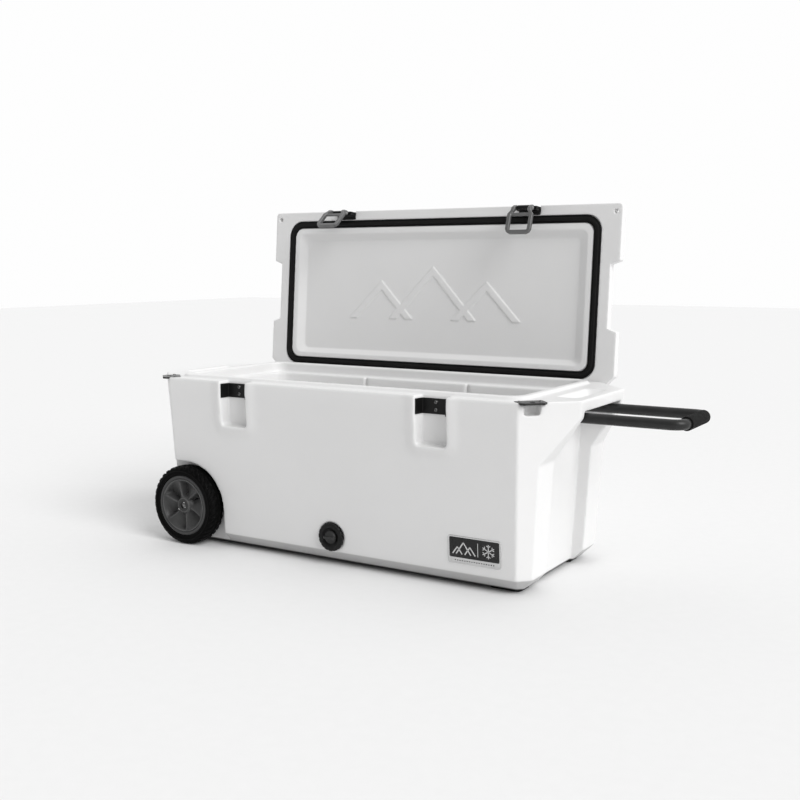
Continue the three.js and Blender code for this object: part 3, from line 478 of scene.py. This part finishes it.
def cast_metal(name, tone, roughness, metallic=0.55):
    """Grey coated casting: fine pitted coat, rubbed brighter on its edges."""
    s = Surface(name, Metallic=metallic)
    patch = s.noise(60.0, 5.0, 0.6)
    base = s.colours(patch, ((0.3, grey(tone * 0.85)), (0.7, grey(tone * 1.15))))
    base = s.blend(s.standing_edges(0.52, 0.6), base, grey(tone * 1.9))
    s.use("Base Color", base)
    s.use("Roughness", s.spread(s.noise(200.0, 3.0, 0.6), 0.3, 0.7, roughness - 0.07, roughness + 0.09))
    s.bump(s.noise(1400.0, 2.0, 0.5), 0.00005, 0.5)
    return s.done()


def brushed_steel(name, tone, roughness, along=(1.0, 60.0, 60.0)):
    """Steel with fine brushing along one axis and faint smudges."""
    s = Surface(name, Metallic=1.0)
    lines = s.noise(60.0, 4.0, 0.6, stretch=along)
    smudge = s.noise(35.0, 4.0, 0.6)
    base = s.colours(lines, ((0.3, grey(tone * 0.86)), (0.7, grey(tone * 1.1))))
    s.use("Base Color", s.blend(s.spread(smudge, 0.45, 0.8, 0.0, 0.35), base, grey(tone * 0.75)))
    s.use("Roughness", s.spread(lines, 0.3, 0.7, roughness - 0.07, roughness + 0.1))
    s.bump(lines, 0.00004, 0.5)
    return s.done()


def powder_coat(name, tone):
    """Dark powder-coated tube: fine orange peel, soft sheen, small rubs."""
    s = Surface(name, Metallic=0.1, Specular_IOR_Level=0.35)
    rub = s.noise(45.0, 5.0, 0.65)
    s.use("Base Color", s.colours(rub, ((0.35, grey(tone)), (0.8, grey(tone * 1.5)))))
    s.use("Roughness", s.spread(rub, 0.3, 0.7, 0.3, 0.46))
    s.bump(s.noise(650.0, 2.0, 0.45), 0.00012, 0.5)
    return s.done()


def grip_foam():
    """Closed-cell grip: matt, with small open cells."""
    s = Surface("grip_foam", Specular_IOR_Level=0.12)
    cells = s.cells(1500.0)
    s.use("Base Color", s.colours(s.noise(50.0, 4.0), ((0.3, grey(0.005)), (0.75, grey(0.011)))))
    s.use("Roughness", s.spread(cells, 0.0, 0.5, 0.88, 0.7))
    s.bump(cells, 0.00015, 0.6)
    return s.done()


SHELL = shell_plastic()
RUBBER = black_rubber()
TYRE_RUBBER = tyre_rubber()
PLASTIC = textured_plastic("black_plastic", 0.005, 0.4)
PLUG_PLASTIC = textured_plastic("plug_plastic", 0.028, 0.4)
ENAMEL = textured_plastic("badge_enamel", 0.02, 0.3, 1600.0)
BADGE_STEEL = brushed_steel("badge_steel", 0.62, 0.2, (1.0, 40.0, 40.0))
# the rim's edges are lightened more than the other plastics': partly wear, partly a painted highlight along the
# blade ridges
RIM_PLASTIC = textured_plastic("rim_plastic", 0.05, 0.36, 700.0, 2.8)
LATCH_METAL = cast_metal("latch_metal", 0.16, 0.42)
STEEL = brushed_steel("steel", 0.62, 0.26)
BOLT_STEEL = brushed_steel("bolt_steel", 0.2, 0.36, (30.0, 1.0, 30.0))
PLATE_STEEL = brushed_steel("plate_steel", 0.055, 0.34, (40.0, 1.0, 1.0))
COAT = powder_coat("coated_tube", 0.016)
FOAM = grip_foam()


# ---------------------------------------------------------------- tub
LEDGE_Z = 375
HALF_DEPTH = 215
SIDE_DRAFT = 0.0587
POCKET_HALF, POCKET_FOOT, POCKET_CORNER = 37, 273, 9
RIM_PROUD, RIM_FLAT, RIM_FADE, RIM_DEPTH = 3.4, 6, 22, 12     # the raised rim round a latch pocket
BAND_FROM, BAND_BACK = 338, 2.6                               # the front leans back a little near its top


def front_y(z):
    return -(HALF_DEPTH - SIDE_DRAFT * (LEDGE_Z - z))


def smooth(t):
    t = min(1.0, max(0.0, t))
    return t * t * (3 - 2 * t)


def pocket_distance(x, z):
    """How far a place on the front is outside the nearer latch pocket."""
    across = abs(abs(x) - LATCH_X) - POCKET_HALF + POCKET_CORNER
    below = POCKET_FOOT - z + POCKET_CORNER
    return math.hypot(max(across, 0), max(below, 0)) - POCKET_CORNER


def shape_front(tub):
    """Raises a soft rim round each latch pocket and rounds the top of the front back."""
    for vertex in tub.data.vertices:
        x, y, z = design(vertex.co)
        depth = y - front_y(min(z, LEDGE_Z))
        if z < 230 or depth > RIM_DEPTH:
            continue
        lift = RIM_PROUD * (1 - smooth((pocket_distance(x, z) - RIM_FLAT) / RIM_FADE))
        lean = BAND_BACK * max(0.0, (z - BAND_FROM) / (LEDGE_Z - BAND_FROM)) ** 2
        vertex.co.y -= (lift * (1 - smooth(depth / RIM_DEPTH)) - lean * (1 - smooth(depth / 8))) * MM


def tub_softness(place):
    """How strongly an edge of the tub is rounded: most at the bottom, least round the fittings."""
    x, y, z = design(place)
    if y > 190 and z > 345:
        return 0.25
    if pocket_distance(x, z) < 4 and y < -180:
        return 0.35
    if math.hypot(x, z - 45) < 40 and y < -180:
        return 0.25
    corner = smooth((abs(x) - 470) / 25)
    return 0.45 + (0.5 * corner - 0.1 * (1 - corner)) * (1 - smooth((z - 20) / 60))


# voxel size, smoothing passes, reach of the smoothing from a crease, faces kept
TUB_MOULD = (2.7 * MM, 14, 7 * MM, 190000)
LID_MOULD = (2.0 * MM, 3, 2.4 * MM, 170000)


def build_tub():
    tub = mould(copy_of("tub", "tub_shell"), *TUB_MOULD, gentle=tub_softness)
    shape_front(tub)
    return finish_piece(tub, "tub", SHELL, "white_shell", "tub")


build_tub()


# ---------------------------------------------------------------- lid
def build_lid():
    lid = copy_of("lid", "lid_shell")
    mould(lid, *LID_MOULD, gentle=lambda p: 0.3 if p.z < at(0, 0, 392).z else 0.45)
    return finish_piece(lid, "lid", SHELL, "white_shell", "lid")


def build_gasket():
    """Rubber seal: a rounded bulb on a flat foot, pressed into the lid's groove."""
    corner, half_x, half_y, seal_y = 30, 431, 179, 6
    outline = rounded_rectangle(-half_x, half_x, seal_y - half_y, seal_y + half_y, corner, 10)
    count = len(outline)
    path = []
    for i, (x, y) in enumerate(outline):
        before, after = outline[i - 1], outline[(i + 1) % count]
        along = Vector((after[0] - before[0], after[1] - before[1], 0)).normalized()
        across = Vector((along.y, -along.x, 0))
        path.append((at(x, y, 385), across * MM, Vector((0, 0, -MM))))
    crown = [(x, 0.62 * y - 1.2) for x, y in arc(6.0, 176, 4, 12)]
    bulb = [(-8.6, -3.4), (-8.6, 0.6), (-7.4, 1.3), (-6.2, 0.3)] + crown \
        + [(6.2, 0.3), (7.4, 1.3), (8.6, 0.6), (8.6, -3.4)]
    gasket = sweep("lid_seal", path, bulb, closed=True)
    gasket.data.transform(TO_OPEN)
    smooth_shade(gasket, 40)
    return finish_piece(gasket, "lid", RUBBER, "black_rubber", "lid_gasket")


build_lid()
build_gasket()


# ---------------------------------------------------------------- latches and keepers
def soft_copy(node, body, material, slot, voxel=0.9, passes=6, reach=1.6, faces=40000):
    piece = mould(copy_of(node, node + "_shape"), voxel * MM, passes, reach * MM, faces)
    return finish_piece(piece, body, material, slot, node)


for _, label in SIDES:
    soft_copy(f"latch_frame_{label}", f"latch_{label}", LATCH_METAL, "latch_metal", 0.8, 10, 2.2)
    soft_copy(f"latch_base_{label}", "lid", PLASTIC, "black_plastic", 1.0, 6, 1.6)
    soft_copy(f"keeper_{label}", "tub", PLASTIC, "black_plastic", 0.8, 5, 1.4)


# ---------------------------------------------------------------- screws
SCREWS = {}
for _, label in SIDES:
    for name, body in ((f"latch_screw_{label}_1", "lid"), (f"latch_screw_{label}_2", "lid"),
                       (f"keeper_screw_{label}_low", "tub"), (f"keeper_screw_{label}_high", "tub"),
                       (f"corner_screw_{label}_front", "tub"), (f"corner_screw_{label}_end", "tub")):
        SCREWS[name] = body


def build_screw(name, body):
    """A domed head with a hexagon socket on a plain shank, where the CAD screw stands."""
    low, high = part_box(name)
    size = high - low
    along = max(range(3), key=lambda i: size[i])
    outward = -1 if along == 1 else 1
    head_y = low[along] if outward < 0 else high[along]
    middle = (low + high) / 2
    profile = [(0, -2.9, 0), (1.7, -2.9, 1), (1.85, -0.35, 1), (2.2, 0.0, 0), (2.9, -0.25, 0), (3.6, -0.9, 0),
               (4.0, -1.7, 0), (4.0, -1.95, 0), (2.0, -2.0, 0), (2.0, -size[along] / MM, 0),
               (0, -size[along] / MM, 0)]
    bm = bmesh.new()
    rings = []
    for radius, height, hexagon in profile:
        ring = []
        for i in range(36 if radius else 1):
            turn = i / 36 * TURN
            reach = radius / math.cos(turn % (TURN / 6) - TURN / 12) if hexagon else radius
            spot = Vector((0, 0, 0))
            others = [axis for axis in range(3) if axis != along]
            spot[others[0]] = middle[others[0]] + reach * math.cos(turn) * MM
            spot[others[1]] = middle[others[1]] + reach * math.sin(turn) * MM
            spot[along] = head_y + outward * height * MM
            ring.append(bm.verts.new(spot))
        rings.append(ring)
    for first, second in zip(rings, rings[1:]):
        for i in range(36):
            k = (i + 1) % 36
            corners = (
                first[i % len(first)], first[k % len(first)],
                second[k % len(second)], second[i % len(second)],
            )
            corners = list(dict.fromkeys(corners))
            if len(corners) > 2:
                bm.faces.new(corners)
    screw = from_bmesh(name + "_shape", bm)
    smooth_shade(screw, 35)
    return finish_piece(screw, body, BOLT_STEEL, "steel", name)


for name, body in SCREWS.items():
    build_screw(name, body)


# ---------------------------------------------------------------- drain
DRAIN_LOBES = 16


def build_drain():
    """The flange has a scalloped rim and a dish; the plug is domed with a bar to turn it by."""
    flange = lathe("drain_flange", [(r * MM, y * MM) for r, y in (
        (9, -199.3), (16.8, -199.3), (17.8, -199.7), (20.6, -202.3), (21.8, -203.0), (23.2, -203.2),
        (28.4, -203.2), (30.4, -202.6), (31.6, -201.2), (32, -199.4), (32, -196.2), (31.4, -194.4),
        (13.9, -194.4), (13.9, -128.2),
        (9, -128.2), (9, -199.3))], at(0, 0, 45), segments=192)
    middle = at(0, 0, 45)
    for vertex in flange.data.vertices:
        offset = vertex.co - middle
        radius = math.hypot(offset.x, offset.z)
        if radius < 29 * MM:
            continue
        turn = math.atan2(offset.z, offset.x) / TURN * DRAIN_LOBES % 1.0
        shrink = 1 - 0.05 * math.exp(-((turn - 0.5) / 0.11) ** 2) * smooth((radius / MM - 28) / 3)
        vertex.co = Vector((middle.x + offset.x * shrink, vertex.co.y, middle.z + offset.z * shrink))
    smooth_shade(flange, 40)
    finish_piece(flange, "tub", PLASTIC, "black_plastic", "drain_body")
    plug = lathe("plug_body", [(r * MM, y * MM) for r, y in (
        (0, -207.4), (4, -207.2), (8, -206.5), (11, -205.3), (13.2, -203.8), (14.1, -202), (14.2, -199.5),
        (7.6, -199.5), (7.6, -184.4), (6, -184.4), (6, -180.4), (7.6, -180.4), (7.6, -173.4), (0, -173.4))],
        at(0, 0, 45), segments=72)
    wing_middle, wing_end, wing_thick = -205.2, 15, 5.2
    rounds = arc(6, 170, 100, 6, (-9, wing_middle)) + arc(6, 80, 10, 6, (9, wing_middle))
    outline = [(-wing_end, -203.2)] + rounds + [(wing_end, -203.2)]
    # the rounded side is turned over to face the front; the two ends stay
    outline = [(x, y if abs(x) > wing_end - 0.1 else 2 * wing_middle - y) for x, y in outline]
    wing = prism("plug_wing", outline, lambda u, v, w: at(u, v, 45 + w), wing_thick)
    wing.data.transform(Matrix.Translation((0, 0, -wing_thick / 2 * MM)))
    settle(bevel(wing, 1.1 * MM, 3, 40))
    plug = joined("drain_plug_shape", plug, wing)
    smooth_shade(plug, 45)
    finish_piece(plug, "drain_plug", PLUG_PLASTIC, "black_plastic", "drain_plug")


build_drain()


# ---------------------------------------------------------------- wheels
WHEEL_X, WHEEL_Z, FACE, TREAD_WIDTH = -412, 72, 228, 50
PETALS = 6
TYRE_HALF = [
    (72.2, 3.4), (72.8, 1.8), (74.2, 1.2), (80.6, 1.3), (81.4, 0.4), (83.2, 0.2), (84.2, 1.3), (86, 1.7),
    (88.2, 2.8), (89.6, 3.6), (90.4, 4.4), (91.6, 5.6), (92.6, 7.4), (93.3, 9.6), (93.7, 12.2), (93.9, 15.2),
    (94, 18.6), (94, 21.6), (94, 22.8), (94, 24.2),
]


def wheel_place(side, radius, turn, depth):
    """A point of a wheel: depth runs inwards from the tyre's outer face."""
    return at(WHEEL_X + radius * math.cos(turn), side * (FACE - depth), WHEEL_Z + radius * math.sin(turn))


def polar_mesh(name, side, stations, segments, height, skip=None, closed=False):
    """A mesh on a polar grid. height(station, turn) gives (radius, depth)."""
    bm = bmesh.new()
    grid = []
    for station in stations:
        ring = []
        for i in range(segments):
            turn = i / segments * TURN
            radius, depth = height(station, turn)
            ring.append(bm.verts.new(wheel_place(side, radius, turn, depth)))
        grid.append(ring)
    pairs = [(i, i + 1) for i in range(len(stations) - 1)]
    if closed:
        pairs.append((len(stations) - 1, 0))
    for a, b in pairs:
        for i in range(segments):
            k = (i + 1) % segments
            if skip and skip(stations[a], stations[b], (i + 0.5) / segments * TURN):
                continue
            bm.faces.new((grid[a][i], grid[a][k], grid[b][k], grid[b][i]))
    loose = [v for v in bm.verts if not v.link_faces]
    bmesh.ops.delete(bm, geom=loose, context="VERTS")
    return from_bmesh(name, bm)


def tread(station, turn):
    """Chevron lugs: slanting grooves on both shoulders and a straight one round the middle."""
    radius, depth = station
    across = abs(depth - TREAD_WIDTH / 2) / (TREAD_WIDTH / 2)
    if radius < 89:
        return radius, depth
    lug = (turn / TURN * 34 + 1.3 * across) % 1.0
    groove = smooth((0.34 - abs(lug - 0.5)) / 0.06) if across > 0.3 else 0.0
    lug_depth = 2.4 * (1 - groove) if across > 0.3 else 0.0
    if across < 0.12:
        lug_depth = 2.0
    return radius - lug_depth, depth


def build_tyre(side, label):
    profile = TYRE_HALF + [(r, TREAD_WIDTH - d) for r, d in reversed(TYRE_HALF)] + [(71.9, 44), (71.9, 6)]
    tyre = polar_mesh(f"tyre_{label}_shape", side, profile, 510, tread, closed=True)
    smooth_shade(tyre, 38)
    finish_piece(tyre, f"wheel_{label}", TYRE_RUBBER, "tyre", f"tyre_{label}")


def petal_share(radius, turn):
    """Where a place lies within its petal, from 0 at its ridge to 1 at the next one."""
    return (turn / TURN * PETALS + 0.10 * (radius - 18) / 46 + 0.25) % 1.0


def petal_height(radius, turn):
    """Six scooped blades in a shallow dish: each falls from its ridge to a deep edge under the next one."""
    share = petal_share(radius, turn)
    dish = 10 - 6 * min(1.0, max(0.0, (radius - 18) / 44)) ** 1.6
    fall = (share / 0.84) ** 1.2 if share < 0.84 else (1 - share) / 0.16
    window = smooth((radius - 17) / 8) * (1 - smooth((radius - 53) / 9))
    ridge = math.exp(-(min(share, 1 - share) / 0.05) ** 2)
    return radius, dish + window * (17 * fall - 1.6 * ridge)


def petal_gap(inner, outer, turn):
    """The small openings beside the hub, at the deep edge of each blade."""
    radius = (inner + outer) / 2
    return 20 < radius < 37 and 0.70 < petal_share(radius, turn) < 0.91 - 0.006 * (radius - 20)


def build_rim(side, label):
    radii = [16.2, 17.5, 19, 21, 23.5, 26, 29, 32, 35, 38, 41, 44, 47, 50, 52.5, 55, 57, 59, 61, 62.5]
    blades = polar_mesh(f"blades_{label}", side, radii, 324, petal_height, petal_gap)
    shell = blades.modifiers.new("shell", "SOLIDIFY")
    shell.thickness = 3 * MM
    shell.offset = 0
    settle(blades)
    lip = [
        (61.5, 8), (61.8, 5), (63, 4.2), (65.2, 3.6), (66, 2.6), (66.8, 2.2), (69.6, 2.2), (70.9, 2.9),
        (71.7, 4.2), (71.7, 46.5), (65, 46.5), (65, 12), (61.5, 10),
    ]
    barrel = polar_mesh(f"barrel_{label}", side, lip, 144, lambda station, turn: station, closed=True)
    cup = [
        (10.9, 14), (13.6, 13.4), (14.4, 6.2), (15.2, 5.2), (16.8, 5.2), (17.6, 6.4), (17.6, 46.5), (10.9, 46.5),
    ]
    hub = polar_mesh(f"hub_{label}", side, cup, 72, lambda station, turn: station, closed=True)
    rim = joined(f"rim_{label}_shape", blades, barrel, hub)
    smooth_shade(rim, 50)
    finish_piece(rim, f"wheel_{label}", RIM_PLASTIC, "rim_plastic", f"rim_{label}")


def build_hub_bolt(side, label):
    """The axle's end cap in the hub's cup: a small domed hexagon nut."""
    profile = [
        (0, 5.6, 0), (2.4, 5.8, 0), (4.0, 6.4, 0), (4.7, 7.2, 1), (4.8, 9.0, 1), (9.2, 9.2, 0), (9.4, 10.2, 0),
        (8.2, 10.4, 0), (0.0, 10.4, 0),
    ]

    def spot(station, turn):
        radius, depth, hexagon = station
        reach = radius / math.cos(turn % (TURN / 6) - TURN / 12) if hexagon else max(radius, 0.01)
        return reach, depth

    bolt = polar_mesh(f"cap_nut_{label}_shape", side, profile, 72, spot)
    smooth_shade(bolt, 35)
    finish_piece(bolt, "tub", BOLT_STEEL, "steel", f"cap_nut_{label}")


def build_axle():
    """A plain steel bar with chamfered ends, which stop behind the domes of the cap nuts."""
    end, radius, chamfer = 219, 8, 0.8
    profile = [(0, -end), (radius - chamfer, -end), (radius, chamfer - end), (radius, end - chamfer),
               (radius - chamfer, end), (0, end)]
    axle = lathe("axle_shape", [(r * MM, y * MM) for r, y in profile], at(WHEEL_X, 0, WHEEL_Z), segments=64)
    smooth_shade(axle, 35)
    finish_piece(axle, "tub", STEEL, "steel", "axle")


build_axle()
for side, label in ENDS:
    build_tyre(side, label)
    build_rim(side, label)
    build_hub_bolt(side, label)


# ---------------------------------------------------------------- tow handle
def build_handle():
    soft_copy("handle_tube", "handle", COAT, "handle_tube", 1.5, 8, 3.0, 60000)
    ribs = []
    count = 29
    for i in range(count):
        y = -56 + 112 * i / (count - 1)
        ribs += [(14.0, y - 1.3), (14.0, y + 0.9), (13.55, y + 1.5), (13.55, y + 2.1)]
    ribs = ribs[:-2]
    profile = [(11.1, -58), (12.8, -58), (13.7, -57.4)] + ribs
    profile += [(13.7, 57.4), (12.8, 58), (11.1, 58), (11.1, -58)]
    grip = lathe("handle_grip_shape", [(r * MM, y * MM) for r, y in profile], at(739, 0, 336), segments=72)
    smooth_shade(grip, 40)
    finish_piece(grip, "handle", FOAM, "grip_rubber", "handle_grip")


build_handle()


# ---------------------------------------------------------------- badge
BADGE_X, BADGE_Z = 355, 62
STROKE_LOW, STROKE_THICK = 2.4, 0.6
LEAN = math.atan(SIDE_DRAFT)
BADGE_UP = Vector((0, -math.sin(LEAN), math.cos(LEAN)))
BADGE_OUT = Vector((0, -math.cos(LEAN), -math.sin(LEAN)))


def on_badge(u, v, w):
    return at(BADGE_X, front_y(BADGE_Z), BADGE_Z) + (Vector((u, 0, 0)) + BADGE_UP * v + BADGE_OUT * w) * MM


def badge_shape(name, outline, low, thick):
    return prism(name, outline, lambda u, v, w: on_badge(u, v, low + w), thick)


def bar(name, start, end, width):
    """A straight stroke on the badge's field."""
    (x0, y0), (x1, y1) = start, end
    length = math.hypot(x1 - x0, y1 - y0)
    nx, ny = (y0 - y1) / length * width / 2, (x1 - x0) / length * width / 2
    outline = [(x0 + nx, y0 + ny), (x1 + nx, y1 + ny), (x1 - nx, y1 - ny), (x0 - nx, y0 - ny)]
    return badge_shape(name, outline, STROKE_LOW, STROKE_THICK)


def build_badge():
    """A plain bright plate: a dark field with three peaks and a snowflake, and a row of dots below."""
    plate = badge_shape("badge_plate_shape", rounded_rectangle(-60, 60, -29, 29, 5), 0.1, 1.6)
    settle(bevel(plate, 0.6 * MM, 3, 50))
    smooth_shade(plate, 40)
    finish_piece(plate, "tub", BADGE_STEEL, "steel", "badge_plate")
    field = badge_shape("badge_field_shape", rounded_rectangle(-57, 57, -17, 26, 3), 1.5, 0.8)
    settle(bevel(field, 0.2 * MM, 2, 50))
    smooth_shade(field, 40)
    finish_piece(field, "tub", ENAMEL, "black_plastic", "badge_field")
    strokes = []
    for cx, high, half in ((-38, 15, 11), (-24, 25, 17), (-9, 17, 12)):
        strokes.append(bar("slope", (cx - half, -9), (cx, -9 + high), 2.6))
        strokes.append(bar("slope", (cx, -9 + high), (cx + half, -9), 2.6))
    strokes.append(bar("rule", (9, -10), (9, 19), 1.4))
    middle = (33, 4.5)
    for i in range(6):
        turn = math.radians(30 + 60 * i)
        tip = (middle[0] + 15 * math.cos(turn), middle[1] + 15 * math.sin(turn))
        strokes.append(bar("arm", middle, tip, 1.9))
        for share, spread in ((0.62, 0.95), (0.62, -0.95)):
            root = (middle[0] + 15 * share * math.cos(turn), middle[1] + 15 * share * math.sin(turn))
            twig = (root[0] + 5.5 * math.cos(turn + spread), root[1] + 5.5 * math.sin(turn + spread))
            strokes.append(bar("twig", root, twig, 1.6))
    marks = joined("badge_marks", *strokes)
    finish_piece(marks, "tub", BADGE_STEEL, "steel")
    dots = []
    for i in range(17):
        cx = -44 + 88 * i / 16
        dots.append(badge_shape("dot", [(cx + x, -23 + y) for x, y in arc(1.3, 0, 337.5, 15)], 1.5, 0.35))
    finish_piece(joined("badge_dots", *dots), "tub", ENAMEL, "black_plastic")


build_badge()

# ---------------------------------------------------------------- CAD pieces that stay, with their own finish
KEPT = {
    "hinge_rod": (STEEL, 0.4), "drain_seal": (RUBBER, 0.3), "drain_nut": (PLASTIC, 0.5),
    "drain_plug_ring": (RUBBER, 0), "foot_front": (RUBBER, 1.2), "foot_rear": (RUBBER, 1.2),
}
for _, label in SIDES:
    KEPT[f"latch_pin_{label}"] = (STEEL, 0.3)
    KEPT[f"corner_plate_{label}"] = (PLATE_STEEL, 0.8)
for _, label in ENDS:
    KEPT[f"bush_{label}"] = (PLASTIC, 0.3)
    KEPT[f"washer_{label}"] = (PLATE_STEEL, 0.3)
    KEPT[f"handle_bolt_{label}"] = (BOLT_STEEL, 0.5)
    KEPT[f"handle_spacer_{label}"] = (PLASTIC, 0.3)
for name, (material, width) in KEPT.items():
    piece = NODES[name]
    piece.data.materials.clear()
    piece.data.materials.append(material)
    if width:
        bevel(piece, width * MM, 2)


# ---------------------------------------------------------------- floor, light and camera
def build_floor():
    floor = block("floor", (-12, -12, -0.02), (12, 14, 0))
    s = Surface("floor_paper", Specular_IOR_Level=0.1)
    s.use("Base Color", s.colours(s.noise(40.0), ((0.3, grey(0.79)), (0.7, grey(0.80)))))
    s.shader.inputs["Roughness"].default_value = 0.9
    floor.data.materials.append(s.done())


def sun_light(name, azimuth, height, spread, strength):
    """A soft sun, in degrees: azimuth from +X towards +Y, height above the floor, and angular width."""
    lamp = bpy.data.lights.new(name, "SUN")
    lamp.angle = math.radians(spread)
    lamp.energy = strength
    light = bpy.data.objects.new(name, lamp)
    bpy.context.scene.collection.objects.link(light)
    turn, rise = math.radians(azimuth), math.radians(height)
    towards = Vector((math.cos(turn) * math.cos(rise), math.sin(turn) * math.cos(rise), math.sin(rise)))
    light.rotation_euler = towards.to_track_quat("Z", "Y").to_euler()
    return light


SKY_FADE = (("From Min", -0.8), ("From Max", 0.25), ("To Min", 0.38), ("To Max", 0.99))  # darker at the front
KEY_LIGHT = {"azimuth": -18, "height": 36, "spread": 34, "strength": 2.0}


def build_studio():
    world = bpy.data.worlds.new("studio")
    world.use_nodes = True
    tree = world.node_tree
    sky = tree.nodes["Background"]
    towards = tree.nodes.new("ShaderNodeTexCoord").outputs["Generated"]
    parts = tree.nodes.new("ShaderNodeSeparateXYZ")
    tree.links.new(towards, parts.inputs["Vector"])
    fade = tree.nodes.new("ShaderNodeMapRange")
    tree.links.new(parts.outputs["Y"], fade.inputs["Value"])
    for key, number in SKY_FADE:
        fade.inputs[key].default_value = number
    tree.links.new(fade.outputs["Result"], sky.inputs["Color"])
    bpy.context.scene.world = world
    bpy.context.scene.view_settings.view_transform = "Standard"
    sun_light("key", **KEY_LIGHT)


SENSOR, LENS = 36, 48.31
CAMERA_PLACE = (1338.1, -2084.7, 645.8)
CAMERA_YAW, CAMERA_PITCH, CAMERA_ROLL = 31.56, 7.33, 0.08      # degrees; the pitch is downwards


def build_camera():
    lens = bpy.data.cameras.new("camera")
    lens.sensor_width = SENSOR
    lens.lens = LENS
    lens.clip_end = 60
    camera = bpy.data.objects.new("camera", lens)
    bpy.context.scene.collection.objects.link(camera)
    camera.location = at(*CAMERA_PLACE)
    tilt = 90 - CAMERA_PITCH
    camera.rotation_euler = (math.radians(tilt), math.radians(CAMERA_ROLL), math.radians(CAMERA_YAW))
    bpy.context.scene.camera = camera


build_floor()
build_studio()
build_camera()
